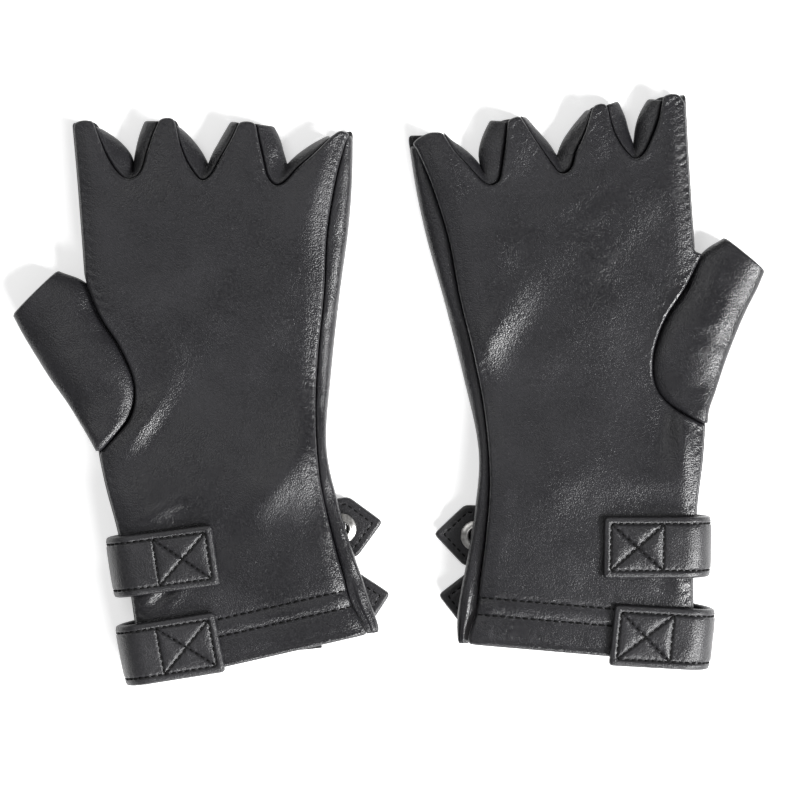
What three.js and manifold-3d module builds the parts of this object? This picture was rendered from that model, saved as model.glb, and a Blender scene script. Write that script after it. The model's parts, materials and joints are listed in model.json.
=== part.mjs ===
// A pair of fingerless leather gloves with two snap straps on each cuff, lying palm side up.
// Millimetres, +Z up, standing on z = 0 with the middle of the pair over the origin.
//
// Each glove is drawn once in its own pattern frame: u runs across from the thumb side to the
// little-finger side, v runs up from the hem to the fingertips, z is height. The right glove is
// the same pattern mirrored.
import * as THREE from 'three';
import { mergeVertices } from 'three/addons/utils/BufferGeometryUtils.js';
import Module from 'manifold-3d';

const wasm = await Module();
wasm.setup();

// ---------------------------------------------------------------- driving dimensions

// Hand and fingers
const gloveLength = 223.5; // hem to the index fingertip edge
const handWidth = 100; // flat width that the outline's fractions are taken of
const fingerDrop = 16.5; // how much lower the little fingertip edge is than the index one
const hemSlant = 11.5; // rise of the hem from the thumb side to the little-finger side
const handDepth = 13.5; // height of the flattened hand part
const fingerDepth = 12; // height of the finger openings
const cuffDepth = 8.8; // height of the cuff at its thumb-side edge
const crown = 2; // how far the palm stands above its own edges
const thumbHeight = 13; // height of the thumb opening

// Materials
const leather = 1.2;
const hemWidth = 20; // turned-in band round the cuff opening
const clearance = 0.3; // between pieces that are sewn or pressed together

// Straps
const strapWidth = 25;
const strapThickness = 2.6;
const strapSpacing = 11.4; // between the two straps, at the fold
const lowerStrapHeight = 3.7; // middle of the lower strap, at the fold
const upperTabLength = 33; // from the fold's axis to the sewn end
const lowerTabLength = 30.4;
const upperSlack = 4; // the fold's inside beyond the cuff's edge
const lowerSlack = 5;
const pointShown = 10.9; // how far the strap's point looks out beyond the cuff's other edge
const pointLength = 12.5; // the tapered part of the tip
const tipLength = 27; // from the peel line to the point

// Snaps
const snapDiameter = 12.5;
const snapFromPoint = 17.3;
const capThickness = 1.1;
const socketHeight = 2.2;
const socketMouth = 5.4;
const studHeight = 3.3;
const studDiameter = 10;
const postDiameter = 3.4;
const studInset = 20; // how far the snug position lies inside the slack one
const springWire = 0.7;

// Blank label inside the left cuff
const labelWidth = 13.5;
const labelLength = 9;
const labelShown = 2.3; // how far it looks out below the hem

// How the two gloves lie
const gloveSpacing = 138.6; // between the two pattern origins
const leftTurn = 6; // degrees
const rightTurn = 2;
const rightRaise = 3.7; // the right glove lies this much further up

// How each slack strap lies: how much further up its fold sits, how far its fold turns and how
// much it climbs along its length, in millimetres and degrees.
const strapLies = {
  left_lower: { raise: 1.6, turn: 4.9, climb: 1.8 },
  left_upper: { raise: 1, turn: 2.5, climb: 0.9 },
  right_lower: { raise: -1.7, turn: 8, climb: 2.8 },
  right_upper: { raise: -1.2, turn: 3.1, climb: 1.2 },
};

// ---------------------------------------------------------------- levels that follow

const { lerp, smoothstep, degToRad } = THREE.MathUtils;

const tipBottom = capThickness + clearance; // underside of the strap at its snap
const headroom = 0.3;
const cuffLift = tipBottom + strapThickness + 2 * clearance + studHeight + headroom;
const cuffTop = cuffLift + cuffDepth + crown;
const upperStandOff = upperSlack + strapThickness; // the fold's outside beyond the cuff's edge
const lowerStandOff = lowerSlack + strapThickness;
const tabLevel = cuffTop + clearance + strapThickness / 2; // middle of the sewn end
const foldRadius = (tabLevel - strapThickness / 2) / 2; // middle of the strap round the fold
const foldCentre = foldRadius + strapThickness / 2; // height of the fold's axis
const strapRise = tipBottom; // the strap climbs this much from the fold to the tip

// ---------------------------------------------------------------- outline of one glove

// A smooth line through a few [share of the length, share of the width] pairs.
function edgeLine(pairs) {
  const points = pairs.map(([v, u]) => new THREE.Vector2(v * gloveLength, u * handWidth));
  return (v) => {
    const last = points.length - 1;
    let i = 0;
    while (i < last - 1 && v > points[i + 1].x) i += 1;
    const before = points[Math.max(i - 1, 0)];
    const [a, b] = [points[i], points[i + 1]];
    const after = points[Math.min(i + 2, last)];
    const span = b.x - a.x;
    const t = (v - a.x) / span;
    const slopeA = i === 0 ? (b.y - a.y) / span : (b.y - before.y) / (b.x - before.x);
    const slopeB = i === last - 1 ? (b.y - a.y) / span : (after.y - a.y) / (after.x - a.x);
    if (t < 0) return a.y + slopeA * (v - a.x);
    if (t > 1) return b.y + slopeB * (v - b.x);
    const [t2, t3] = [t * t, t * t * t];
    return (2 * t3 - 3 * t2 + 1) * a.y + (t3 - 2 * t2 + t) * span * slopeA
      + (3 * t2 - 2 * t3) * b.y + (t3 - t2) * span * slopeB;
  };
}

const thumbEdge = edgeLine([
  [-0.03, -0.435], [0.13, -0.443], [0.25, -0.47], [0.34, -0.502],
  [0.42, -0.518], [0.56, -0.515], [0.71, -0.5], [0.88, -0.489], [1, -0.485],
]);
const palmSeam = edgeLine([
  [-0.03, 0.458], [0.1, 0.436], [0.2, 0.4], [0.31, 0.375], [0.43, 0.386],
  [0.54, 0.424], [0.64, 0.47], [0.75, 0.508], [0.85, 0.57], [0.93, 0.638],
]);
const littleEdge = edgeLine([
  [-0.03, 0.52], [0.07, 0.518], [0.15, 0.48], [0.25, 0.435], [0.36, 0.41],
  [0.5, 0.462], [0.64, 0.53], [0.75, 0.59], [0.84, 0.627], [0.93, 0.652],
]);

// The hem slants across the cuff and the fingertips fall away towards the little finger.
function shareAcross(u, v) {
  const share = (u - thumbEdge(v)) / (littleEdge(v) - thumbEdge(v));
  return Math.min(Math.max(share, 0), 1);
}
const hemAt = (u) => hemSlant * (shareAcross(u, 0) - 0.68);
const topAt = (u) => gloveLength - fingerDrop * shareAcross(u, gloveLength) ** 1.6;

// The cuff is raised by the straps under it, and the hand part lies flat.
const liftStart = 62;
const liftEnd = 112;
const liftFade = (v) => smoothstep(v, liftStart, liftEnd);
const backLevel = (v) => cuffLift * (1 - liftFade(v));
const fingerStart = 0.78; // share of the length from which the hand thins to the finger openings
const fingerFade = (v) => smoothstep(v, fingerStart * gloveLength, gloveLength);
const palmLevel = (v) => lerp(lerp(cuffTop, handDepth, liftFade(v)), fingerDepth, fingerFade(v));
const roundedShare = 0.09; // the part of the width over which the palm rounds down at each side

function palmHeight(s, v) {
  const nearEdge = Math.max(0, 1 - Math.min(s, 1 - s) / roundedShare);
  return palmLevel(v) - crown * nearEdge ** 2;
}

function palmPoint(s, v, below) {
  return new THREE.Vector3(lerp(thumbEdge(v), palmSeam(v), s), v, palmHeight(s, v) - below);
}

const seamLevel = (v) => palmLevel(v) - crown - leather - clearance; // just under the palm's edge

// The fold's axis lies inside the fold, and the strap reaches from it past the cuff's other edge.
const foldOut = foldRadius + strapThickness / 2;
const cuffMiddle = lowerStrapHeight + (strapWidth + strapSpacing) / 2;
const cuffWidth = littleEdge(cuffMiddle) - thumbEdge(cuffMiddle);
const strapReach = cuffWidth + (upperStandOff + lowerStandOff) / 2 - foldOut + pointShown;

// Rounded sides of the back panel
const thumbSideRound = 7;
const littleSideRound = 5;
const littleSideRise = 3;

// The back panel's section: round side, flat, round lip. inset is 0 on its outer face.
const thumbRoundPart = 0.3;
const lipPart = 0.8;
function backPoint(s, v, inset) {
  const floor = backLevel(v);
  const quarter = Math.PI / 2;
  if (s < thumbRoundPart) {
    const angle = quarter * (s / thumbRoundPart);
    const rise = seamLevel(v) - floor;
    const u = thumbEdge(v) + thumbSideRound - (thumbSideRound - inset) * Math.cos(angle);
    return new THREE.Vector3(u, v, seamLevel(v) - (rise - inset) * Math.sin(angle));
  }
  if (s < lipPart) {
    const share = (s - thumbRoundPart) / (lipPart - thumbRoundPart);
    const from = thumbEdge(v) + thumbSideRound;
    return new THREE.Vector3(lerp(from, littleEdge(v) - littleSideRound, share), v, floor + inset);
  }
  const angle = quarter * (1 - (s - lipPart) / (1 - lipPart));
  const u = littleEdge(v) - littleSideRound + (littleSideRound - inset) * Math.cos(angle);
  return new THREE.Vector3(u, v, floor + littleSideRise - (littleSideRise - inset) * Math.sin(angle));
}

// ---------------------------------------------------------------- solids

function material(color, roughness, metalness = 0) {
  return new THREE.MeshStandardMaterial({ color, roughness, metalness });
}
const blackLeather = material(0x414144, 0.42);
const liningLeather = material(0x2c2c2e, 0.7);
const nickel = material(0xb9bab8, 0.28, 1);
const labelCloth = material(0x17171a, 0.85);

function bare(geometry) {
  const positions = geometry.clone();
  positions.deleteAttribute('normal');
  positions.deleteAttribute('uv');
  return mergeVertices(positions, 1e-4);
}

// Turns the faces of a closed geometry outwards where a mirroring warp has turned them in.
function faceOut(geometry) {
  const { index, attributes: { position } } = geometry;
  const corner = [0, 1, 2].map(() => new THREE.Vector3());
  let volume = 0;
  for (let i = 0; i < index.count; i += 3) {
    corner.forEach((point, k) => point.fromBufferAttribute(position, index.getX(i + k)));
    volume += corner[0].dot(corner[1].cross(corner[2]));
  }
  if (volume > 0) return geometry;
  for (let i = 0; i < index.count; i += 3) {
    const second = index.getX(i + 1);
    index.setX(i + 1, index.getX(i + 2));
    index.setX(i + 2, second);
  }
  return geometry;
}

// Moves every vertex of a geometry by a function of its own place.
function warp(geometry, place) {
  const warped = bare(geometry);
  const position = warped.attributes.position;
  const point = new THREE.Vector3();
  for (let i = 0; i < position.count; i += 1) {
    point.fromBufferAttribute(position, i);
    const moved = place(point);
    position.setXYZ(i, moved.x, moved.y, moved.z);
  }
  return faceOut(warped);
}

// A sheet: place(s, t, depth) gives a point for s and t from 0 to 1, depth 0 on the outer face
// and 1 on the inner face.
function sheet(columns, rows, place) {
  const box = new THREE.BoxGeometry(1, 1, 1, columns, rows, 1);
  return warp(box, (p) => place(p.x + 0.5, p.y + 0.5, 0.5 - p.z));
}

function solid(geometry) {
  const merged = bare(geometry);
  return new wasm.Manifold(new wasm.Mesh({
    numProp: 3,
    vertProperties: new Float32Array(merged.attributes.position.array),
    triVerts: new Uint32Array(merged.index.array),
  }));
}

function geometryOf(manifold) {
  const mesh = manifold.getMesh();
  const geometry = new THREE.BufferGeometry();
  geometry.setAttribute('position', new THREE.BufferAttribute(new Float32Array(mesh.vertProperties), 3));
  geometry.setIndex(new THREE.BufferAttribute(new Uint32Array(mesh.triVerts), 1));
  geometry.computeVertexNormals();
  return geometry;
}

function cut(geometry, cutters) {
  const left = cutters.reduce((body, cutter) => body.subtract(solid(cutter)), solid(geometry));
  const pieces = left.decompose().sort((a, b) => b.volume() - a.volume());
  return geometryOf(pieces[0]);
}

function piece(name, geometry, look) {
  const drawn = geometry.clone();
  drawn.computeVertexNormals();
  const mesh = new THREE.Mesh(drawn, look);
  mesh.name = name;
  return mesh;
}

const turned = (profile, segments = 12) => faceOut(bare(new THREE.LatheGeometry(
  profile.map(([radius, height]) => new THREE.Vector2(radius, height)), segments,
).rotateX(Math.PI / 2)));

// ---------------------------------------------------------------- gaps between the fingers

// Each gap: left and right ends at the fingertips and its rounded bottom, for the palm side and,
// a little shallower and narrower, for the back of the hand.
const fingerGaps = [
  { palm: { left: -0.384, bottom: [-0.27, 0.884], right: -0.15 },
    back: { left: -0.36, bottom: [-0.263, 0.906], right: -0.19 } },
  { palm: { left: -0.076, bottom: [0.024, 0.861], right: 0.19 },
    back: { left: -0.06, bottom: [0.052, 0.899], right: 0.165 } },
  { palm: { left: 0.262, bottom: [0.325, 0.84], right: 0.583 },
    back: { left: 0.318, bottom: [0.366, 0.876], right: 0.55 } },
];
const gapRound = 3.8; // half the width of a gap's rounded bottom
const gapRoundHeight = 2.4;
const gapDip = 2; // how far below the bottom the round's control point lies

function gapCurve(gap, outward, run) {
  const at = (share, height) => new THREE.Vector2(share * handWidth, height);
  const [bottomShare, bottomHeight] = gap.bottom;
  const bottom = at(bottomShare, bottomHeight * gloveLength - outward);
  const top = (share) => topAt(share * handWidth) + run;
  const left = at(gap.left, top(gap.left));
  const right = at(gap.right, top(gap.right));
  left.x -= outward;
  right.x += outward;
  const lowLeft = new THREE.Vector2(bottom.x - gapRound - outward / 2, bottom.y + gapRoundHeight);
  const lowRight = new THREE.Vector2(bottom.x + gapRound + outward / 2, bottom.y + gapRoundHeight);
  const path = new THREE.CurvePath();
  path.add(new THREE.LineCurve(left, lowLeft));
  const under = new THREE.Vector2(bottom.x, bottom.y - gapDip);
  path.add(new THREE.QuadraticBezierCurve(lowLeft, under, lowRight));
  path.add(new THREE.LineCurve(lowRight, right));
  return path;
}

function gapCutter(gap) {
  const above = fingerDrop; // the cutter goes on past the fingertips
  const deep = 3 * cuffTop;
  const points = gapCurve(gap, 0, 1).getSpacedPoints(14);
  points.push(new THREE.Vector2(points.at(-1).x, points.at(-1).y + above));
  points.push(new THREE.Vector2(points[0].x, points[0].y + above));
  return new THREE.ExtrudeGeometry(new THREE.Shape(points), { depth: deep, bevelEnabled: false })
    .translate(0, 0, -deep / 3);
}

// The strip between two fingers, from the back panel up to the palm panel.
function fourchette({ palm, back }) {
  const steps = 14;
  const inFrom = leather + clearance; // keeps the strip's ends inside the panels' ends
  const tuck = 0.2; // its outer face lies this far behind the panels' edges
  const curves = [0, 1].map((depth) => [back, palm].map(
    (gap) => gapCurve(gap, depth * leather + tuck, -inFrom).getSpacedPoints(steps),
  ));
  return sheet(steps, 2, (s, t, depth) => {
    const i = Math.round(s * steps);
    const [low, high] = curves[Math.round(depth)].map((points) => points[i]);
    const u = lerp(low.x, high.x, t);
    const v = lerp(low.y, high.y, t);
    const bottom = backLevel(v) + leather + clearance;
    const share = Math.min(Math.max((u - thumbEdge(v)) / (palmSeam(v) - thumbEdge(v)), 0), 1);
    return new THREE.Vector3(u, v, lerp(bottom, palmHeight(share, v) - leather - 2 * clearance, t));
  });
}

// ---------------------------------------------------------------- thumb

// The thumb's middle line from its opening to its root, as [u share, v share, half width].
const thumbLine = new THREE.CatmullRomCurve3([
  [-0.697, 0.7, 12.8], [-0.585, 0.62, 15.6], [-0.507, 0.551, 16.2],
  [-0.46, 0.488, 14.4], [-0.458, 0.434, 10.5], [-0.475, 0.397, 4],
].map(([u, v, half]) => new THREE.Vector3(u * handWidth, v * gloveLength, half)));
const thumbSteps = 11;

const openingTurn = 3; // degrees that the thumb's opening is turned from square
const openingPart = 0.3; // share of its length over which that fades
const thumbFloor = 0.6; // the opening lies this far above the ground
const rootStand = 3; // the root stands this far above the palm
const rootDepth = 12; // and reaches this far down into the hand
const rootTaper = 0.5;

// A point of the thumb's surface: t from the opening to the root, angle round it.
function thumbPoint(t, angle, inset) {
  const centre = thumbLine.getPoint(t);
  const along = thumbLine.getTangent(t);
  const turn = degToRad(openingTurn) * (1 - smoothstep(t, 0, openingPart));
  const across = new THREE.Vector2(-along.y, along.x).normalize()
    .rotateAround(new THREE.Vector2(), turn);
  const rootTop = palmLevel(centre.y) + rootStand;
  const top = lerp(thumbHeight + thumbFloor, rootTop, smoothstep(t, 0.05, 0.6));
  const bottom = lerp(thumbFloor, rootTop + rootStand - rootDepth, smoothstep(t, openingPart, 1));
  const halfHeight = (top - bottom) / 2 * (1 - rootTaper * smoothstep(t, 0.8, 1));
  const halfWidth = centre.z - inset;
  const u = centre.x + across.x * halfWidth * Math.cos(angle);
  const v = centre.y + across.y * halfWidth * Math.cos(angle);
  return new THREE.Vector3(u, v, (top + bottom) / 2 + (halfHeight - inset) * Math.sin(angle));
}

function thumbTube() {
  const profile = [];
  for (let i = 0; i <= thumbSteps; i += 1) profile.push(new THREE.Vector2(2, i / thumbSteps));
  for (let i = thumbSteps; i >= 0; i -= 1) profile.push(new THREE.Vector2(1, i / thumbSteps));
  profile.push(new THREE.Vector2(2, 0));
  return warp(new THREE.LatheGeometry(profile, 20), (p) => {
    const inset = leather * (2 - Math.hypot(p.x, p.z));
    return thumbPoint(p.y, Math.atan2(p.z, p.x), inset);
  });
}

// The space the thumb needs, a clearance larger than the thumb itself.
function thumbRoom() {
  const cylinder = new THREE.CylinderGeometry(1, 1, 1, 20, thumbSteps);
  return warp(cylinder, (p) => {
    const t = p.y + 0.5;
    const edge = thumbPoint(t, Math.atan2(p.z, p.x), -clearance);
    const centre = thumbPoint(t, 0, 0).add(thumbPoint(t, Math.PI, 0)).multiplyScalar(0.5);
    return centre.lerp(edge, Math.hypot(p.x, p.z));
  });
}

// Everything of the thumb that would stand inside the hand space.
function handSpaceAtThumb() {
  const low = 0.31 * gloveLength;
  const high = 0.78 * gloveLength;
  const reach = 0.45 * handWidth;
  return sheet(2, 8, (s, t, depth) => {
    const v = lerp(low, high, t);
    const inner = thumbEdge(v) + leather + clearance;
    const z = lerp(seamLevel(v) + clearance, -thumbHeight, depth);
    return new THREE.Vector3(inner + reach * s, v, z);
  });
}

// ---------------------------------------------------------------- straps

// A strap is a straight strip wrapped round the fold. In its own frame x points to the tip and y
// lies along the fold. distance is measured round the wrap, square to the fold, from where the
// sewn end meets it; width runs across the strip; height is 0 in the middle of its thickness.
function strapPoint(strap, distance, width, height) {
  const half = Math.PI * foldRadius;
  const climbTurn = degToRad(strap.climb);
  const y = (distance - half / 2) * Math.tan(climbTurn) + width / Math.cos(climbTurn);
  if (distance <= 0) return new THREE.Vector3(-distance, y, tabLevel + height);
  if (distance <= half) {
    const angle = distance / foldRadius;
    const radius = foldRadius + height;
    return new THREE.Vector3(-radius * Math.sin(angle), y, foldCentre + radius * Math.cos(angle));
  }
  const x = distance - half;
  const climb = strapRise * x / (strapReach - snapFromPoint);
  return new THREE.Vector3(x, y, strapThickness / 2 + climb - height);
}

// A stretch of strap in even steps, from each given distance to the next.
function strapPiece(strap, marks, steps) {
  const stations = [marks[0]];
  marks.slice(1).forEach((end, i) => {
    for (let k = 1; k <= steps[i]; k += 1) stations.push(lerp(marks[i], end, k / steps[i]));
  });
  const columns = stations.length - 1;
  return sheet(columns, 2, (s, t, depth) => {
    const height = strapThickness * (0.5 - depth);
    return strapPoint(strap, stations[Math.round(s * columns)], strapWidth * (t - 0.5), height);
  });
}

const halfTurn = Math.PI * foldRadius;
const foldLines = [halfTurn / 4, (3 * halfTurn) / 4];
const peelLine = halfTurn + strapReach - tipLength;
const snapDistance = halfTurn + strapReach - snapFromPoint;

function strapTip(strap) {
  const start = strapReach - tipLength + clearance / 2;
  const end = strapReach;
  const half = strapWidth / 2;
  const yAt = (x, width) => strapPoint(strap, halfTurn + x, width, 0).y;
  const outline = [[start, -half], [end - pointLength, -half], [end, 0],
    [end - pointLength, half], [start, half]];
  const shape = new THREE.Shape(outline.map(([x, width]) => new THREE.Vector2(x, yAt(x, width))));
  const snap = strapPoint(strap, snapDistance, 0, 0);
  shape.holes.push(new THREE.Path().absarc(snap.x, snap.y, postDiameter / 2 + clearance, 0, 2 * Math.PI));
  const flat = new THREE.ExtrudeGeometry(shape, {
    depth: strapThickness, bevelEnabled: false, curveSegments: 8,
  });
  return flat.translate(0, 0, tipBottom);
}

const flange = 0.7; // thickness of the snap parts' rims
const rivetStand = 0.8; // how far the cap's post comes through the strap

// Snap parts, each about its own upright axis with z = 0 at the underside of the leather it is on.
function snapCap() {
  const radius = snapDiameter / 2;
  const post = postDiameter / 2;
  return turned([[0, -tipBottom], [radius * 0.6, -tipBottom], [radius, -tipBottom / 2], [radius, -clearance],
    [post, -clearance], [post, strapThickness + rivetStand], [0, strapThickness + rivetStand]]);
}

function snapSocket() {
  const radius = snapDiameter / 2;
  const eye = postDiameter / 2 + clearance;
  const mouth = socketMouth / 2;
  const groove = mouth + 1.5;
  const base = strapThickness + clearance;
  const dome = [radius * 0.76, base + socketHeight / 2];
  return turned([[eye, base], [radius, base], [radius, base + flange], dome,
    [radius * 0.7, base + socketHeight], [mouth, base + socketHeight], [mouth, base + socketHeight - 0.5],
    [groove, base + socketHeight - 0.5], [groove, base + flange], [eye, base + flange], [eye, base]]);
}

function snapSpring() {
  const side = 1.5;
  const end = socketMouth / 2 + 0.4;
  const level = strapThickness + clearance + flange + 0.5;
  const wire = [[side, -end], [side, end * 0.5], [side * 0.6, end], [-side * 0.6, end],
    [-side, end * 0.5], [-side, -end]];
  const path = new THREE.CatmullRomCurve3(wire.map(([x, y]) => new THREE.Vector3(x, y, level)));
  const section = new THREE.Shape().absarc(0, 0, springWire / 2, 0, 2 * Math.PI);
  return new THREE.ExtrudeGeometry(section, { steps: 14, curveSegments: 3, extrudePath: path });
}

// The stud hangs from the back panel and its post comes down through the leather.
const panelHole = postDiameter / 2 + clearance;
function snapStud() {
  const radius = studDiameter / 2;
  const ball = socketMouth / 2 - 0.2;
  return turned([[0, -studHeight - clearance], [ball * 0.7, -studHeight - clearance],
    [ball, -studHeight + 0.4], [ball * 0.85, -1.2], [radius, -1.2], [radius, -clearance],
    [panelHole, -clearance], [panelHole, -0.8 - clearance], [0, -0.8 - clearance]]);
}

function snapPost(layers) {
  const radius = studDiameter / 2 - 0.5;
  const post = postDiameter / 2;
  const head = layers * (leather + clearance);
  return turned([[0, -0.6], [post, -0.6], [post, head], [radius, head],
    [radius, head + 0.5], [radius * 0.7, head + 1], [0, head + 1]]);
}

// layers: how many thicknesses of leather the snap's post goes through
const strapDesigns = [
  { name: 'lower', height: lowerStrapHeight, tabLength: lowerTabLength, standOff: lowerStandOff, layers: 2 },
  { name: 'upper', height: lowerStrapHeight + strapWidth + strapSpacing, tabLength: upperTabLength,
    standOff: upperStandOff, layers: 1 },
];
const strapsOf = (side) => strapDesigns.map((design) => (
  { ...design, ...strapLies[`${side}_${design.name}`] }
));

function strapFrame(strap) {
  const frame = new THREE.Group();
  const axis = thumbEdge(strap.height) - strap.standOff + foldOut;
  frame.position.set(axis, strap.height + strap.raise, 0);
  frame.rotation.z = degToRad(strap.turn);
  frame.updateMatrix();
  return frame;
}

const snapPlace = (strap, distance) => {
  const place = strapPoint(strap, distance, 0, 0);
  return new THREE.Vector3(place.x, place.y, 0);
};

function addStrap(glove, side, strap) {
  const frame = strapFrame(strap);
  const label = (part) => `${side}_${strap.name}_${part}`;
  const [first, second] = foldLines;
  const half = clearance / 2;
  frame.add(
    piece(label('strap_tab'), strapPiece(strap, [-strap.tabLength, 0, first - half], [3, 4]), blackLeather),
    piece(label('strap_loop'), strapPiece(strap, [first + half, second - half], [8]), blackLeather),
    piece(label('strap_run'), strapPiece(strap, [second + half, halfTurn, peelLine - half], [4, 4]),
      blackLeather),
    piece(label('strap_tip'), strapTip(strap), blackLeather),
  );
  const snapParts = [['snap_cap', snapCap()], ['snap_socket', snapSocket()],
    ['snap_spring', snapSpring()]];
  for (const [part, geometry] of snapParts) {
    const mesh = piece(label(part), geometry, nickel);
    mesh.position.copy(snapPlace(strap, snapDistance)).setZ(tipBottom);
    frame.add(mesh);
  }
  for (const [part, geometry] of [['snap_stud', snapStud()], ['snap_post', snapPost(strap.layers)]]) {
    const mesh = piece(label(part), geometry, nickel);
    mesh.position.copy(snapPlace(strap, snapDistance - studInset)).setZ(cuffLift);
    frame.add(mesh);
  }
  // Joint lines, kept with the strap: outside of the fold twice, underside of the strap at the peel.
  const outside = strapThickness / 2;
  frame.userData.pivots = {
    fold_top: strapPoint(strap, first, 0, outside),
    fold_bottom: strapPoint(strap, second, 0, outside),
    peel: strapPoint(strap, peelLine, 0, outside),
  };
  frame.name = label('strap');
  glove.add(frame);
}

// ---------------------------------------------------------------- one glove

const studHoles = (side) => strapsOf(side).map((strap) => {
  const frame = strapFrame(strap);
  const place = snapPlace(strap, snapDistance - studInset).applyMatrix4(frame.matrix);
  return new THREE.CylinderGeometry(panelHole, panelHole, 8 * leather, 12)
    .rotateX(Math.PI / 2)
    .translate(place.x, place.y, cuffLift);
});

function palmPanel() {
  const sheetOfPalm = sheet(12, 22, (s, t, depth) => {
    const low = hemAt(palmPoint(s, 0, 0).x);
    const high = topAt(palmPoint(s, gloveLength, 0).x);
    return palmPoint(s, lerp(low, high, t), leather * depth);
  });
  return cut(sheetOfPalm, [...fingerGaps.map((gap) => gapCutter(gap.palm)), thumbRoom()]);
}

function backPanel(side) {
  const sheetOfBack = sheet(10, 20, (s, t, depth) => {
    const low = hemAt(backPoint(s, 0, 0).x);
    const high = topAt(backPoint(s, gloveLength, 0).x);
    return backPoint(s, lerp(low, high, t), leather * depth);
  });
  const gaps = fingerGaps.map((gap) => gapCutter(gap.back));
  return cut(sheetOfBack, [...gaps, thumbRoom(), ...studHoles(side)]);
}

// The strip along the little-finger side, from the back panel's lip up to the palm's edge.
function sideGusset() {
  return sheet(3, 20, (s, t, depth) => {
    const v = lerp(hemAt(littleEdge(0)), topAt(littleEdge(gloveLength)), t);
    const low = new THREE.Vector2(littleEdge(v), backLevel(v) + littleSideRise + clearance);
    const high = new THREE.Vector2(palmSeam(v), seamLevel(v));
    const shoulder = new THREE.Vector2(low.x, lerp(low.y, high.y, 0.6));
    const curve = new THREE.QuadraticBezierCurve(low, shoulder, high);
    const outer = curve.getPoint(s);
    const along = curve.getTangent(s);
    return new THREE.Vector3(outer.x - along.y * leather * depth, v, outer.y + along.x * leather * depth);
  });
}

// The turned-in bands round the cuff opening.
const hemInset = 0.08; // share of the width left free at each side
const hemFold = 0.6; // the bands start this far above the folded edge
function palmHem() {
  return sheet(8, 3, (s, t, depth) => {
    const across = lerp(hemInset, 1 - hemInset, s);
    const v = hemAt(palmPoint(across, 0, 0).x) + hemFold + hemWidth * t;
    return palmPoint(across, v, leather + clearance + leather * depth);
  });
}

function backHem() {
  return sheet(8, 3, (s, t, depth) => {
    const across = lerp(thumbRoundPart, lipPart, s);
    const v = hemAt(backPoint(across, 0, 0).x) + hemFold + hemWidth * t;
    return backPoint(across, v, leather + clearance + leather * depth);
  });
}

function blankLabel() {
  const [middle, thickness] = [24, 0.8];
  const start = hemAt(middle) - labelShown;
  const level = cuffLift + 2 * leather + 2 * clearance + thickness / 2;
  return new THREE.BoxGeometry(labelWidth, labelLength, thickness)
    .translate(middle, start + labelLength / 2, level);
}

function glove(side) {
  const group = new THREE.Group();
  const add = (part, geometry, look) => group.add(piece(`${side}_${part}`, geometry, look));
  add('palm_panel', palmPanel(), blackLeather);
  add('back_panel', backPanel(side), blackLeather);
  add('side_gusset', sideGusset(), blackLeather);
  add('thumb_stall', cut(thumbTube(), [handSpaceAtThumb()]), blackLeather);
  const between = ['index_middle', 'middle_ring', 'ring_little'];
  fingerGaps.forEach((gap, i) => add(`${between[i]}_fourchette`, fourchette(gap), blackLeather));
  add('palm_hem', palmHem(), liningLeather);
  add('back_hem', cut(backHem(), studHoles(side)), liningLeather);
  if (side === 'left') add('cuff_label', blankLabel(), labelCloth);
  strapsOf(side).forEach((strap) => addStrap(group, side, strap));
  return group;
}

// ---------------------------------------------------------------- the pair

const left = glove('left');
left.rotation.z = degToRad(leftTurn);

const right = glove('right');
right.scale.x = -1;
right.rotation.z = degToRad(rightTurn);
right.position.set(gloveSpacing, rightRaise, 0);

const pair = new THREE.Group();
pair.add(left, right);
pair.updateMatrixWorld(true);
const box = new THREE.Box3().setFromObject(pair, true);
const middle = box.getCenter(new THREE.Vector3());
pair.position.set(-middle.x, -middle.y, -box.min.z);

export default pair;
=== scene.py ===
import json
import math

import bmesh
import bpy
import numpy as np
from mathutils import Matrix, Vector
from mathutils.geometry import delaunay_2d_cdt


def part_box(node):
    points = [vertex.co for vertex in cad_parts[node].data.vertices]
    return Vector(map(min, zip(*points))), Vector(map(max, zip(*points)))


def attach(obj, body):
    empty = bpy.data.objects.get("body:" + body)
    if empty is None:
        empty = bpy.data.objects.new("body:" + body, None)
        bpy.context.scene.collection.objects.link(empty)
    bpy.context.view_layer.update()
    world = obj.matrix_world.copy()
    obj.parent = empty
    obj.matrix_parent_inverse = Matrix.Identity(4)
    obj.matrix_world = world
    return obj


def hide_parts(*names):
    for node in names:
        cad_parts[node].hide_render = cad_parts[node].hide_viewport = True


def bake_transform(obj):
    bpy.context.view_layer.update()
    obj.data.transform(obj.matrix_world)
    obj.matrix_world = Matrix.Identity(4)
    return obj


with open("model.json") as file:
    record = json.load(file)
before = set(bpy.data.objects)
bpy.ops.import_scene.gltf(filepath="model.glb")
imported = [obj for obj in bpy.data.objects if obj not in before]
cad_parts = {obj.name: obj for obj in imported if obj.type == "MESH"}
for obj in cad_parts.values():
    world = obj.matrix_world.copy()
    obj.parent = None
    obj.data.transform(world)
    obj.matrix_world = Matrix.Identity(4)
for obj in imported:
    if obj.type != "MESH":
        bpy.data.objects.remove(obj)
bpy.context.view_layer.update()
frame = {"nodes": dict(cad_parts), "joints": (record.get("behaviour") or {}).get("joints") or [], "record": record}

# Lengths are millimetres in each glove's own pattern frame: u runs from the thumb side to the
# little-finger side, v from the hem to the fingertips, z up. They become metres in the row frame
# when a mesh is made.
MM = 0.001

# ---------------------------------------------------------------- sizes

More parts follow.
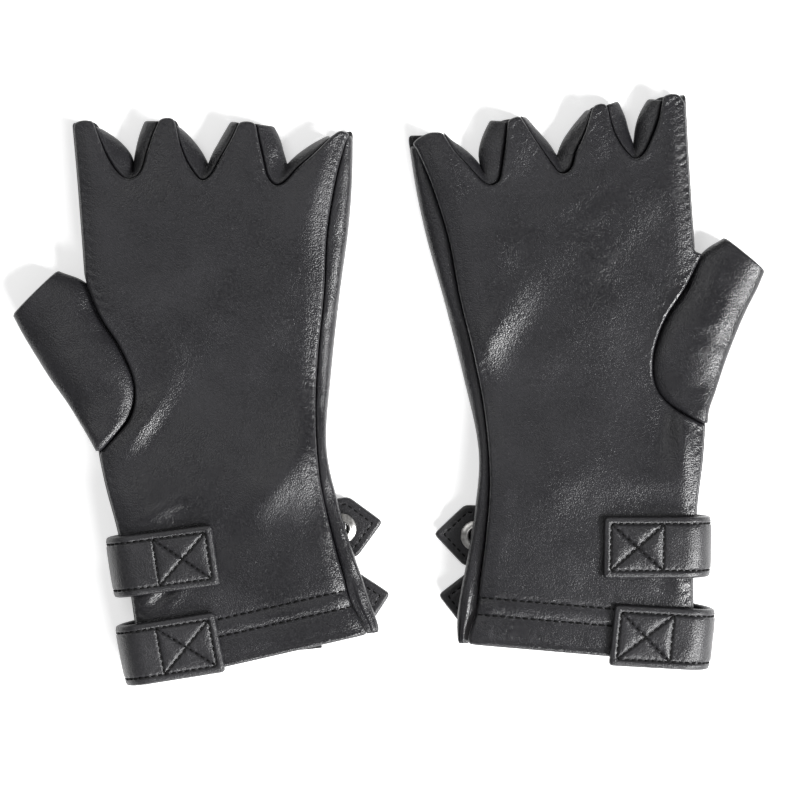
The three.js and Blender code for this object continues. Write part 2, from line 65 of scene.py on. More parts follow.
GLOVE_LENGTH = 223.5
HAND_WIDTH = 100.0
HEM_SLANT = 11.5
HAND_TOP = 13.5
FINGER_TOP = 12.0
CUFF_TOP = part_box("left_palm_panel")[1].z / MM
CUFF_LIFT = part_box("left_lower_snap_stud")[1].z / MM + 0.3
CROWN = 2.0
LEATHER = 1.2
GAP = 0.3
LIFT_START, LIFT_END = 62.0, 112.0
STRAP_WIDTH = 25.0
STRAP_THICK = 2.6

SIDES = ("left", "right")
STRAPS = ("lower", "upper")
FINGER_GAPS = ("index_middle", "middle_ring", "ring_little")

# ---------------------------------------------------------------- small helpers


def smoothstep(x, a, b):
    t = np.clip((np.asarray(x, float) - a) / (b - a), 0, 1)
    return t * t * (3 - 2 * t)


def lerp(a, b, t):
    return a + (b - a) * t


def unit(vectors):
    vectors = np.asarray(vectors, float)
    length = np.linalg.norm(vectors, axis=-1, keepdims=True)
    return vectors / np.maximum(length, 1e-9)


def edge_line(pairs):
    """A smooth line u(v) through a few (share of the length, share of the width) pairs."""
    v = np.array([p[0] for p in pairs]) * GLOVE_LENGTH
    u = np.array([p[1] for p in pairs]) * HAND_WIDTH
    slope = np.empty(len(v))
    slope[1:-1] = (u[2:] - u[:-2]) / (v[2:] - v[:-2])
    slope[0] = (u[1] - u[0]) / (v[1] - v[0])
    slope[-1] = (u[-1] - u[-2]) / (v[-1] - v[-2])

    def at(x):
        x = np.asarray(x, float)
        i = np.clip(np.searchsorted(v, x) - 1, 0, len(v) - 2)
        span = v[i + 1] - v[i]
        t = np.clip((x - v[i]) / span, 0, 1)
        t2, t3 = t * t, t * t * t
        inside = (
            (2 * t3 - 3 * t2 + 1) * u[i]
            + (t3 - 2 * t2 + t) * span * slope[i]
            + (3 * t2 - 2 * t3) * u[i + 1]
            + (t3 - t2) * span * slope[i + 1]
        )
        return inside + slope[0] * np.minimum(x - v[0], 0) + slope[-1] * np.maximum(x - v[-1], 0)

    return at


def spline(points, count):
    """count points, evenly spaced, on a centripetal Catmull-Rom curve through points."""
    p = np.asarray(points, float)
    p = np.vstack([2 * p[0] - p[1], p, 2 * p[-1] - p[-2]])
    dense = []
    for i in range(1, len(p) - 2):
        knots = np.cumsum([0] + [np.linalg.norm(p[i + k] - p[i + k - 1]) ** 0.5 for k in (0, 1, 2)])
        t = np.linspace(knots[1], knots[2], 24, endpoint=False)[:, None]
        a = [lerp(p[i - 1 + k], p[i + k], (t - knots[k]) / (knots[k + 1] - knots[k])) for k in range(3)]
        b = [lerp(a[k], a[k + 1], (t - knots[k]) / (knots[k + 2] - knots[k])) for k in range(2)]
        dense.append(lerp(b[0], b[1], (t - knots[1]) / (knots[2] - knots[1])))
    return resample(np.vstack(dense + [p[-2]]), count)


def resample(line, count):
    """count evenly spaced points along a polyline."""
    line = np.asarray(line, float)
    reach = np.r_[0, np.cumsum(np.linalg.norm(np.diff(line, axis=0), axis=1))]
    at = np.linspace(0, reach[-1], count)
    return np.column_stack([np.interp(at, reach, line[:, k]) for k in range(line.shape[1])])


def spaced(line, step):
    """A polyline resampled to about one step between points."""
    line = np.asarray(line, float)
    length = np.linalg.norm(np.diff(line, axis=0), axis=1).sum()
    return resample(line, max(2, int(round(length / step)) + 1))


def to_segments(points, starts, ends):
    """Distance from each 2-D point to the nearest of the segments."""
    points = np.asarray(points, float)
    best = np.full(len(points), 1e9)
    along = ends - starts
    length2 = np.maximum((along**2).sum(1), 1e-12)
    for low in range(0, len(points), 2000):
        block = points[low:low + 2000, None, :]
        t = np.clip(((block - starts) * along).sum(2) / length2, 0, 1)
        near = starts + t[..., None] * along
        best[low:low + 2000] = np.sqrt(((block - near) ** 2).sum(2).min(1))
    return best


def to_line(points, line, closed=False):
    line = np.asarray(line, float)
    if closed:
        line = np.vstack([line, line[:1]])
    return to_segments(points, line[:-1], line[1:])


def value_noise(x, y, size, seed):
    """Smooth noise from -1 to 1 with features of about one size."""
    grid = np.random.default_rng(seed).uniform(-1, 1, (64, 64))
    x, y = np.asarray(x, float) / size + 17.3, np.asarray(y, float) / size + 9.1
    i, j = np.floor(x).astype(int), np.floor(y).astype(int)
    fx, fy = x - i, y - j
    fx, fy = fx**3 * (fx * (6 * fx - 15) + 10), fy**3 * (fy * (6 * fy - 15) + 10)
    corner = lambda a, b: grid[(i + a) % 64, (j + b) % 64]
    return lerp(lerp(corner(0, 0), corner(1, 0), fx), lerp(corner(0, 1), corner(1, 1), fx), fy)


# ---------------------------------------------------------------- outline of one glove

thumb_edge = edge_line([
    (-0.03, -0.435), (0.13, -0.443), (0.25, -0.47), (0.34, -0.502),
    (0.42, -0.518), (0.56, -0.515), (0.71, -0.5), (0.88, -0.489), (1, -0.485),
])
palm_seam = edge_line([
    (-0.03, 0.458), (0.1, 0.436), (0.2, 0.4), (0.31, 0.375), (0.43, 0.386),
    (0.54, 0.424), (0.64, 0.47), (0.75, 0.508), (0.85, 0.57), (0.93, 0.638),
])
little_edge = edge_line([
    (-0.03, 0.52), (0.07, 0.518), (0.15, 0.48), (0.25, 0.435), (0.36, 0.41),
    (0.5, 0.462), (0.64, 0.53), (0.75, 0.59), (0.84, 0.627), (0.93, 0.652),
])


def share_across(u, v):
    return np.clip((u - thumb_edge(v)) / (little_edge(v) - thumb_edge(v)), 0, 1)


def hem_at(u):
    return HEM_SLANT * (share_across(u, 0) - 0.68)


def lift_fade(v):
    return smoothstep(v, LIFT_START, LIFT_END)


def back_level(v):
    return CUFF_LIFT * (1 - lift_fade(v))


def palm_level(v):
    hand = lerp(CUFF_TOP, HAND_TOP, lift_fade(v))
    return lerp(hand, FINGER_TOP, smoothstep(v, 0.78 * GLOVE_LENGTH, GLOVE_LENGTH))


def seam_level(v):
    return palm_level(v) - CROWN - LEATHER - GAP


# Each gap between two fingers as it lies: the palm's edge, and how far the strips between the
# fingers bulge into the gap from its left side down to the crease and up its right side.
GAPS = {
    "left": {
        "index_middle": (
            [(-39, 220.5), (-37.5, 215), (-35, 207), (-31, 200), (-28, 198),
             (-23.5, 199.5), (-19.5, 208), (-16.5, 214.5), (-13.5, 220)],
            [(-38, 220), (-30.5, 213), (-26.5, 206.5), (-26, 200.5)],
            [(-25.5, 200.5), (-24.5, 206), (-21.5, 215), (-18.5, 221)]),
        "middle_ring": (
            [(-6, 217.5), (-5, 209), (-3, 202), (0.5, 195.5), (2, 194),
             (5, 195.5), (10.5, 203), (15.5, 210), (19, 216)],
            [(-5.5, 217), (-1, 211), (2.5, 205), (4.5, 200)],
            [(5, 200), (7.5, 204.5), (11, 209.5), (16.5, 217)]),
        "ring_little": (
            [(26.5, 214.5), (27, 208), (28, 199.5), (29, 192.5), (31.5, 189),
             (34.5, 189.5), (41, 195), (48, 200), (55.5, 206)],
            [(32.5, 213.5), (34.5, 207.5), (35.5, 201.5), (36.5, 196.5)],
            [(37, 196.5), (41.5, 200), (47.5, 203.5), (55.5, 207)]),
    },
    "right": {
        "index_middle": (
            [(-38.5, 221), (-36.5, 212.5), (-33.5, 205.5), (-30.5, 200), (-27, 197.5),
             (-25, 199), (-21.5, 203.5), (-18.5, 210), (-16.5, 220)],
            [(-34, 222), (-30.5, 216), (-28.5, 210.5), (-27, 202.5)],
            [(-26.5, 202.5), (-24.5, 209), (-23, 215), (-20.5, 221.5)]),
        "middle_ring": (
            [(-9.5, 218), (-6.5, 209), (-2.5, 201), (0, 194), (3.5, 192.5),
             (6.5, 196), (11, 203), (15, 209.5), (19, 216.5)],
            [(-8.5, 218.5), (-2.5, 211.5), (1.5, 206), (4.5, 199.5)],
            [(5, 199.5), (8, 204.5), (12, 209.5), (17.5, 216.5)]),
        "ring_little": (
            [(25, 214.5), (26, 206), (28, 195.5), (29.5, 190), (33, 189),
             (36, 191), (41.5, 197.5), (47, 204), (51, 211)],
            [(31, 215.5), (34.5, 208), (36, 202), (35.5, 195)],
            [(36, 195), (37.5, 198), (41.5, 202.5), (49, 208.5)]),
    },
}
# The four fingertip edges of the palm, from the index finger to the little finger.
TIPS = {
    "left": [
        [(-48.5, 222), (-47.5, 223.5), (-43.5, 224), (-39.5, 223)],
        [(-13, 221), (-9.5, 221.5), (-6.5, 220.5)],
        [(19.5, 216.5), (23, 216.5), (26, 215.5)],
        [(57.5, 207.5), (60.5, 209), (63.5, 207.5), (64.5, 206.5)],
    ],
    "right": [
        [(-47, 222), (-46, 223.5), (-43, 224), (-39, 223)],
        [(-16, 220.5), (-13.5, 221), (-10.5, 220)],
        [(19.5, 217), (22, 216.5), (24.5, 215.5)],
        [(52.5, 211.5), (57, 211.5), (61.5, 209.5), (64.5, 207)],
    ],
}
# The thumb as it lies: its outer and inner edges from the opening to the root.
THUMB = {
    "left": [
        ((-81, 147), (-60.5, 163.5)), ((-78, 139.5), (-49.5, 157)),
        ((-74, 131), (-45, 143)), ((-68.5, 120), (-38, 129)),
        ((-62.5, 109.5), (-34, 114)), ((-57.5, 99.5), (-36.5, 101.5)),
        ((-54, 92), (-43.5, 94)), ((-52.5, 88.5), (-50, 88.5)),
    ],
    "right": [
        ((-78.5, 149.5), (-62, 164)), ((-75.5, 143), (-53, 158)),
        ((-70.5, 134), (-45.5, 144.5)), ((-65, 122.5), (-36, 130.5)),
        ((-60.5, 112), (-31, 116)), ((-56.5, 101.5), (-32, 103.5)),
        ((-53.5, 94), (-39, 95)), ((-52.5, 88.5), (-50, 88.5)),
    ],
}
HEM_SAG = {"left": 0.5, "right": 1.2}
# How far the palm's corner and the strip's corner flare out at the hem.
CORNER_FLARE = {"left": (5.0, 2.6), "right": (3.4, 0.4)}


def flare(v):
    return (1 - smoothstep(v, 2, 21)) ** 1.2


def palm_side(glove, v):
    """The palm's sewn edge at the little-finger side."""
    return palm_seam(v) + CORNER_FLARE[glove.side][0] * flare(v)


def strip_side(glove, v):
    """The side strip's outer edge."""
    return little_edge(v) + CORNER_FLARE[glove.side][1] * flare(v)


def gap_lines(glove, name, count=72):
    """The palm's edge of a gap and the strip's crest in it, point for point."""
    palm, left, right = GAPS[glove.side][name]
    edge = spline(palm, 4 * count)
    low = int(np.argmin(edge[:, 1]))
    half = count // 2
    palm_line = np.vstack([resample(edge[:low + 1], half), resample(edge[low:], half + 1)[1:]])
    crest = np.vstack([spline(left, half), spline(right, half)])
    return palm_line, crest


def back_gap(glove, name):
    """The back panel's edge of a gap, tucked under the strip's crest."""
    palm_line, crest = gap_lines(glove, name)
    return lerp(crest, palm_line, 0.32)


def fingertips(glove, level, start=None, end=None):
    """The edge across all four fingers from the thumb side to the other side."""
    line = []
    for i, tip in enumerate(TIPS[glove.side]):
        tip = np.array(tip, float)
        if level == "back":
            tip = np.column_stack([tip[[0, -1], 0], tip[:, 1].max() - 0.6 + np.zeros(2)])
            if i == 0:
                tip[0, 0] = start
            if i == 3:
                tip[-1, 0] = end
        line.append(tip)
        if i < 3:
            name = FINGER_GAPS[i]
            line.append(gap_lines(glove, name)[0] if level == "palm" else back_gap(glove, name))
    return np.vstack(line)


def rounded(line, passes=2):
    """Takes the sharp corners off a densely spaced closed outline."""
    line = np.asarray(line, float)
    for _ in range(passes):
        line = (np.roll(line, 1, 0) + 2 * line + np.roll(line, -1, 0)) / 4
    return line


def palm_outline(glove):
    sag = HEM_SAG[glove.side]
    u = np.linspace(float(thumb_edge(-7.8)), float(palm_side(glove, 3.0)), 30)
    hem = np.column_stack([u, hem_at(u) - sag])
    side_v = np.linspace(3.6 - sag, 204.5, 90)
    right = np.column_stack([palm_side(glove, side_v), side_v])
    tips = fingertips(glove, "palm")[::-1]
    upper_v = np.linspace(220, 159, 40)
    upper = np.column_stack([thumb_edge(upper_v), upper_v])
    inner = np.array([pair[1] for pair in THUMB[glove.side][1:]], float)
    seam = spline(inner, 60) + (-0.5, 0.0)
    lower_v = np.linspace(87.6, -7, 50)
    lower = np.column_stack([thumb_edge(lower_v), lower_v])
    whole = np.vstack([hem, right, tips, upper, seam, lower])
    return rounded(spaced(np.vstack([whole, whole[:1]]), 1.0)[:-1])


# ---------------------------------------------------------------- one glove's place


class Glove:
    """Where one glove lies, and how its pattern points become row-frame points."""

    TURN = {"left": math.radians(6), "right": math.radians(2)}
    REST_MARK = (-5.0, 150.0, 0.0)  # the rest mount's place in the pattern

    def __init__(self, side):
        self.side = side
        self.mirrored = side == "right"
        self.body = f"{side}_glove"
        mounts = {m["name"]: m for m in frame["record"]["mounts"]}
        self.origin = np.zeros(3)
        mark = self.world([self.REST_MARK])[0]
        self.origin = np.array(mounts[f"{side}_back_rest"]["pos_m"]) / MM - mark

    def node(self, name):
        return f"{self.side}_{name}"

    def world(self, points):
        p = np.asarray(points, float)
        c, s = math.cos(self.TURN[self.side]), math.sin(self.TURN[self.side])
        u = -p[:, 0] if self.mirrored else p[:, 0]
        x = u * c - p[:, 1] * s
        y = u * s + p[:, 1] * c
        return np.column_stack([x, y, p[:, 2]]) + self.origin


# ---------------------------------------------------------------- meshes


class Build:
    """Collects parts of one piece: vertices, faces and a material number for each face."""

    def __init__(self):
        self.points, self.faces, self.marks = [], [], []
        self.count = 0

    def add(self, points, faces, mark=0):
        points = np.asarray(points, float)
        self.points.append(points)
        self.faces += [[i + self.count for i in face] for face in faces]
        self.marks += [mark] * len(faces)
        self.count += len(points)
        return self

    def make(self, glove, name, materials, local=True):
        points = np.vstack(self.points)
        points = (glove.world(points) if local else points) * MM
        mesh = bpy.data.meshes.new(name)
        mesh.from_pydata(points.tolist(), [], self.faces)
        for material in materials:
            mesh.materials.append(material)
        mesh.polygons.foreach_set("material_index", self.marks)
        mesh.update()
        work = bmesh.new()
        work.from_mesh(mesh)
        bmesh.ops.remove_doubles(work, verts=work.verts, dist=2e-6)
        bmesh.ops.dissolve_degenerate(work, edges=work.edges, dist=1e-7)
        bmesh.ops.recalc_face_normals(work, faces=work.faces)
        for face in work.faces:
            face.smooth = True
        work.to_mesh(mesh)
        work.free()
        made = bpy.data.objects.new(name, mesh)
        bpy.context.scene.collection.objects.link(made)
        return made


def hand_over(made, body, replaced):
    """Puts a piece on the body it rides on and hides the node that it stands for."""
    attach(made, body)
    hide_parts(replaced)
    return made


def fill(outline, spacing, rings=(0.25, 0.6, 1.1, 1.8, 2.8, 4.0), extra=()):
    """Triangles over a closed 2-D outline, fine beside the edge. Returns points, faces, distances."""
    outline = np.asarray(outline, float)
    area = (outline[:, 0] * np.roll(outline[:, 1], -1) - np.roll(outline[:, 0], -1) * outline[:, 1]).sum()
    if area < 0:
        outline = outline[::-1]
    ahead = unit(np.roll(outline, -1, 0) - np.roll(outline, 1, 0))
    inward = np.column_stack([-ahead[:, 1], ahead[:, 0]])
    inner = []
    for depth in rings:
        ring = outline + inward * depth
        inner.append(ring[to_line(ring, outline, True) > depth * 0.92])
    low, high = outline.min(0), outline.max(0)
    rows = np.arange(low[1], high[1], spacing * 0.866)
    grid = []
    for k, row in enumerate(rows):
        across = np.arange(low[0] + (k % 2) * spacing / 2, high[0], spacing)
        grid.append(np.column_stack([across, np.full(len(across), row)]))
    grid = np.vstack(grid)
    inner.append(grid[to_line(grid, outline, True) > rings[-1] + spacing * 0.5])
    points = np.vstack([outline, *inner, *extra])
    made = delaunay_2d_cdt([Vector(p) for p in points], [], [list(range(len(outline)))], 1, 1e-5)
    flat = np.array([(p.x, p.y) for p in made[0]])
    return flat, [list(f) for f in made[2]], to_line(flat, outline, True)


def shell(flat, faces, near, place, thick, edge_round, relief=None, under=None):
    """A sheet with rounded edges: place gives outer points and outward normals, near is the distance
    to the edge, relief raises the outer face and under the inner one."""
    outer, normal = place(flat)
    part = np.clip(near / edge_round, 0, 1)
    half = thick / 2 * np.sqrt(np.clip(1 - (1 - part) ** 2, 0, 1))
    middle = outer - normal * thick / 2
    above = half + (relief * part if relief is not None else 0)
    below = half + (under * part if under is not None else 0)
    top = middle + normal * np.reshape(above, (-1, 1))
    bottom = middle - normal * np.reshape(below, (-1, 1))
    count = len(flat)
    all_faces = [list(f) for f in faces] + [[i + count for i in reversed(f)] for f in faces]
    directed = {}
    for f in faces:
        for a, b in zip(f, f[1:] + f[:1]):
            directed[(a, b)] = True
    for a, b in directed:
        if (b, a) not in directed:
            all_faces.append([b, a, a + count, b + count])
    return np.vstack([top, bottom]), all_faces


def mesh_normals(points, faces):
    """Area-weighted vertex normals of a triangle mesh."""
    tri = np.array([f[:3] for f in faces])
    a, b, c = (points[tri[:, k]] for k in range(3))
    across = np.cross(b - a, c - a)
    total = np.zeros_like(points)
    for k in range(3):
        np.add.at(total, tri[:, k], across)
    return unit(total)


def surface_normals(place, flat, step=0.4):
    """Outer points and unit normals of a surface given only by its points."""
    du, dv = np.array([step, 0.0]), np.array([0.0, step])
    points = place(flat)
    along_u = place(flat + du) - place(flat - du)
    along_v = place(flat + dv) - place(flat - dv)
    return points, unit(np.cross(along_u, along_v))


def stitches(line, normals, pitch=3.1, share=0.78, radius=0.33, sink=0.5):
    """Separate threads along a line on a surface, each dipping in at both ends."""
    line, normals = np.asarray(line, float), np.asarray(normals, float)
    reach = np.r_[0, np.cumsum(np.linalg.norm(np.diff(line, axis=0), axis=1))]
    count = max(1, int(round(reach[-1] / pitch)))
    step = reach[-1] / count
    stations = np.linspace(-0.5, 0.5, 7)
    sides = 6
    angles = np.arange(sides) * 2 * math.pi / sides
    points, faces = [], []
    at = lambda s, what: np.column_stack([np.interp(s, reach, what[:, k]) for k in range(3)])
    for i in range(count):
        s = (i + 0.5) * step + stations * step * share
        centre, up = at(s, line), unit(at(s, normals))
        ahead = unit(np.gradient(centre, axis=0))
        across = unit(np.cross(ahead, up))
        lift = radius * 0.45 - sink * np.abs(stations * 2) ** 5
        centre = centre + up * lift[:, None]
        size = radius * np.sqrt(1 - 0.75 * np.abs(stations * 2) ** 4)
        ring = (centre[:, None, :]
                + across[:, None, :] * (np.cos(angles) * size[:, None])[..., None]
                + up[:, None, :] * (np.sin(angles) * size[:, None])[..., None] * 0.85)
        base = len(points) * 7 * sides
        points.append(ring.reshape(-1, 3))
        for r in range(6):
            for k in range(sides):
                a, b = base + r * sides + k, base + r * sides + (k + 1) % sides
                faces.append([a, b, b + sides, a + sides])
        faces.append([base + k for k in range(sides)][::-1])
        faces.append([base + 6 * sides + k for k in range(sides)])
    return np.vstack(points), faces


def revolve(profile, segments=48):
    """A closed turned solid about z from (radius, height) pairs that start and end on one another
    or on the axis."""
    points, faces = [], []
    angles = np.arange(segments) * 2 * math.pi / segments
    for radius, height in profile:
        points.append(np.column_stack([
            radius * np.cos(angles), radius * np.sin(angles), np.full(segments, height)]))
    for i in range(len(profile) - 1):
        for k in range(segments):
            a, b = i * segments + k, i * segments + (k + 1) % segments
            faces.append([a, b, b + segments, a + segments])
    return np.vstack(points), faces


# ---------------------------------------------------------------- materials


def new_look(name):
    """A material, its shader, its object coordinates, and a function that adds a node to it."""
    material = bpy.data.materials.new(name)
    material.use_nodes = True
    tree = material.node_tree

    def add(kind, values, links, **settings):
        made = tree.nodes.new(f"ShaderNode{kind}")
        for key, value in settings.items():
            setattr(made, key, value)
        for key, value in values.items():
            made.inputs[key].default_value = value
        for key, source in links.items():
            tree.links.new(source, made.inputs[key])
        return made

    def feed(**sources):
        for key, source in sources.items():
            tree.links.new(source, shader.inputs[key.replace("_", " ")])

    shader = tree.nodes["Principled BSDF"]
    place = tree.nodes.new("ShaderNodeTexCoord").outputs["Object"]
    return material, shader, place, add, feed


def shades(add, source, dark, light, start=0.0, end=1.0):
    """A colour that goes from dark to light as source goes from start to end."""
    ramp = add("ValToRGB", {}, {"Fac": source})
    for element, position, colour in zip(ramp.color_ramp.elements, (start, end), (dark, light)):
        element.position = position
        element.color = (*colour, 1)
    return ramp.outputs["Color"]


def tint(base, factor):
    return [c * factor for c in base]


def leather(name, base, rough, grain, crease):
    """Fine-grained imitation leather: pebbled grain, fine creases, uneven dye and gloss, and painted shade that
    darkens the grain's valleys.
    """
    material, shader, place, add, feed = new_look(name)
    warp = add("TexNoise", {"Scale": 520, "Detail": 2}, {"Vector": place})
    bend = add("VectorMath", {1: (0.0012, 0.0012, 0.0012)}, {0: warp.outputs["Color"], 2: place},
               operation="MULTIPLY_ADD")
    pebble = add("TexVoronoi", {"Scale": 1650, "Smoothness": 0.25}, {"Vector": bend.outputs[0]},
                 feature="SMOOTH_F1").outputs["Distance"]
    stretch = add("Mapping", {"Rotation": (0, 0, math.radians(35)), "Scale": (1, 2.6, 1)},
                  {"Vector": place})
    lines = add("TexNoise", {"Scale": 720, "Detail": 6, "Roughness": 0.7, "Distortion": 0.6},
                {"Vector": stretch.outputs["Vector"]})
    cloud = add("TexNoise", {"Scale": 34, "Detail": 4}, {"Vector": place}).outputs["Fac"]

    creases = add("Bump", {"Strength": 0.5 * crease, "Distance": 0.0005}, {"Height": lines.outputs["Fac"]})
    pebbles = add("Bump", {"Strength": 0.7 * grain, "Distance": 0.0004},
                  {"Height": pebble, "Normal": creases.outputs["Normal"]}, invert=True)
    dye = shades(add, cloud, tint(base, 0.75), tint(base, 1.2), 0.3, 0.72)
    # Painted shade: the base colour is darkened in the valleys between the grain's pebbles.
    depth = add("MapRange", {"From Min": 0.15, "From Max": 0.8, "To Min": 1.15, "To Max": 0.3},
                {"Value": pebble})
    valley_shade = add("Mix", {"Factor": 0.6}, {"A": dye, "B": depth.outputs["Result"]},
                 data_type="RGBA", blend_type="MULTIPLY")
    gloss = add("MapRange", {"From Min": 0.3, "From Max": 0.7, "To Min": rough - 0.05,
                             "To Max": rough + 0.09}, {"Value": cloud})
    feed(Normal=pebbles.outputs["Normal"], Base_Color=valley_shade.outputs["Result"],
         Roughness=gloss.outputs["Result"])
    shader.inputs["Specular IOR Level"].default_value = 0.5
    return material


def cloth(name, base, scale=1500):
    """Matt woven or knitted backing."""
    material, shader, place, add, feed = new_look(name)
    warp, weft = (
        add("TexWave", {"Scale": scale / 2, "Distortion": 1.5}, {"Vector": place}, bands_direction=way)
        for way in ("X", "Y"))
    weave = add("Math", {}, {0: warp.outputs["Fac"], 1: weft.outputs["Fac"]}, operation="MULTIPLY")
    bump = add("Bump", {"Strength": 0.6, "Distance": 0.0003}, {"Height": weave.outputs[0]})
    feed(Normal=bump.outputs["Normal"],
         Base_Color=shades(add, weave.outputs[0], tint(base, 0.6), tint(base, 1.5)))
    shader.inputs["Roughness"].default_value = 0.9
    shader.inputs["Sheen Weight"].default_value = 0.2
    return material


def thread_look():
    """Black twisted thread."""
    material, shader, place, add, feed = new_look("thread")
    ply = add("TexNoise", {"Scale": 2600}, {"Vector": place}).outputs["Fac"]
    bump = add("Bump", {"Strength": 0.5, "Distance": 0.0002}, {"Height": ply})
    feed(Normal=bump.outputs["Normal"], Base_Color=shades(add, ply, (0.001,) * 3, (0.005,) * 3))
    shader.inputs["Roughness"].default_value = 0.8
    shader.inputs["Specular IOR Level"].default_value = 0.15
    return material


def metal_look(name, base, rough):
    """Plated metal with fine marks and slight tarnish."""
    material, shader, place, add, feed = new_look(name)
    marks = add("TexNoise", {"Scale": 700, "Detail": 5}, {"Vector": place}).outputs["Fac"]
    worn = add("MapRange", {"To Min": rough, "To Max": rough + 0.2}, {"Value": marks})
    feed(Base_Color=shades(add, marks, tint(base, 0.55), base, 0.3, 0.6),
         Roughness=worn.outputs["Result"])
    shader.inputs["Metallic"].default_value = 1.0
    return material


LOOK = {
    "palm": leather("palm_leather", (0.0132, 0.0129, 0.0152), 0.28, grain=0.5, crease=0.42),
    "strap": leather("strap_leather", (0.0185, 0.0181, 0.0205), 0.34, grain=0.5, crease=0.42),
    # Painted shade: near-black metal for the snap socket's inner bore, so the hole reads dark.
    "well_shade": metal_look("socket_well_shade", (0.05, 0.05, 0.05), 0.45),
    "lining": cloth("knit_lining", (0.012, 0.012, 0.0125)),
    "label": cloth("label_tape", (0.01, 0.01, 0.011), 2600),
    "thread": thread_look(),
    "nickel": metal_look("nickel", (0.62, 0.61, 0.59), 0.25),
    "spring": metal_look("spring_steel", (0.5, 0.5, 0.5), 0.2),
}

# ---------------------------------------------------------------- palm, back and side


def palm_height(glove, u, v):
    s = np.clip((u - thumb_edge(v)) / (palm_side(glove, v) - thumb_edge(v)), 0, 1)
    near = np.maximum(0, 1 - np.minimum(s, 1 - s) / 0.09)
    return palm_level(v) - CROWN * near**2


def bulge(u, v, at, size, turn):
    """A smooth hump: 1 at its middle, with two radii and a turn."""
    du, dv = u - at[0], v - at[1]
    c, s = math.cos(turn), math.sin(turn)
    return np.exp(-((du * c + dv * s) / size[0]) ** 2 - ((-du * s + dv * c) / size[1]) ** 2)


# Humps and hollows of each palm: place, radii, turn and height.
FORMS = {
    "left": [
        ((-32.5, 98), (5.5, 17), -0.75, 3.2), ((-14, 112), (9, 28), -0.9, -1.0),
        ((20.5, 69), (7.5, 18), -0.75, 2.3), ((33, 56), (5, 13), -0.2, -0.9),
        ((-6, 48), (20, 7), 0.1, -0.8), ((-31, 64), (9, 15), 0.2, 0.9),
        ((0, 170), (22, 26), 0.3, 1.0), ((28, 150), (10, 34), -0.35, 0.8),
        ((44, 182), (6, 18), -0.3, 0.9), ((-25, 186), (12, 12), 0, 0.5),
        ((-36, 28), (2.6, 8), -1.0, 0.9), ((-31, 27), (2.2, 9), -0.9, -0.9), ((-26, 27), (2.6, 9), -0.9, 0.7),
        ((-28, 62), (2.5, 14), -1.2, 0.6),
    ],
    "right": [
        ((-42, 84), (4.2, 16), 0.05, 2.3), ((-33, 86), (4, 15), 0.2, -0.8),
        ((38, 124), (7, 17), 0.6, 1.7), ((21, 124), (9, 22), 0.6, -1.2),
        ((-28, 57), (11, 6), 0.3, -1.0), ((-10, 40), (16, 9), 0.1, 0.8),
        ((2, 168), (20, 24), -0.2, 1.0), ((30, 158), (8, 30), -0.3, 0.7),
        ((-24, 184), (12, 14), 0, 0.7), ((14, 66), (12, 22), -0.3, 0.9),
        ((-34, 22), (2.4, 9), -0.8, -1.0), ((-29, 20), (2.6, 9), -0.8, 0.9), ((-39, 24), (2.6, 7), -0.8, 0.8),
        ((-8, 186), (3, 30), 1.0, 0.4), ((-30, 66), (3, 12), -1.1, 0.7),
    ],
}
# The four fingers' tubes.
FINGERS = [((-43, 208), (6, 15)), ((-9.5, 206), (6.5, 14)), ((22, 203), (6, 14)), ((52, 196), (6.5, 13))]


def palm_folds(glove, u, v):
    """Soft bulges and creases of leather that has been worn and laid down."""
    seed = 3 if glove.mirrored else 1
    rolls = 0.4 * value_noise(u, v, 34, seed)
    slant = value_noise(u + 0.9 * v, (v - 0.9 * u) * 0.3, 11, seed + 5)
    fine = value_noise(u - 0.5 * v, (v + 0.5 * u) * 0.4, 5.5, seed + 9)
    forms = sum(high * bulge(u, v, at, size, turn) for at, size, turn, high in FORMS[glove.side])
    calm = smoothstep(v, 19, 26)
    fingers = sum(bulge(u, v, at, size, 0) for at, size in FINGERS)
    return (rolls + 0.14 * slant + 0.05 * fine + forms) * calm * smoothstep(208 - v, 0, 20) + fingers


def palm_place(glove):
    def place(flat):
        u, v = flat[:, 0], flat[:, 1]
        z = palm_height(glove, u, v) + palm_folds(glove, u, v)
        return np.column_stack([u, v, z])
    return lambda flat: surface_normals(place, flat)


HEM_ROWS = (12.5, 19.5)
EDGE_DROP, EDGE_REACH = 0.9, 2.4  # how the leather rolls down to a sewn edge
PUCKER, PUCKER_PITCH = 0.16, 3.6  # small gathers along the seams


def hem_row(place, above, start, end):
    """Points and normals of a stitch row that runs parallel to the hem."""
    u = np.linspace(start, end, 90)
    return place(np.column_stack([u, hem_at(u) + above]))


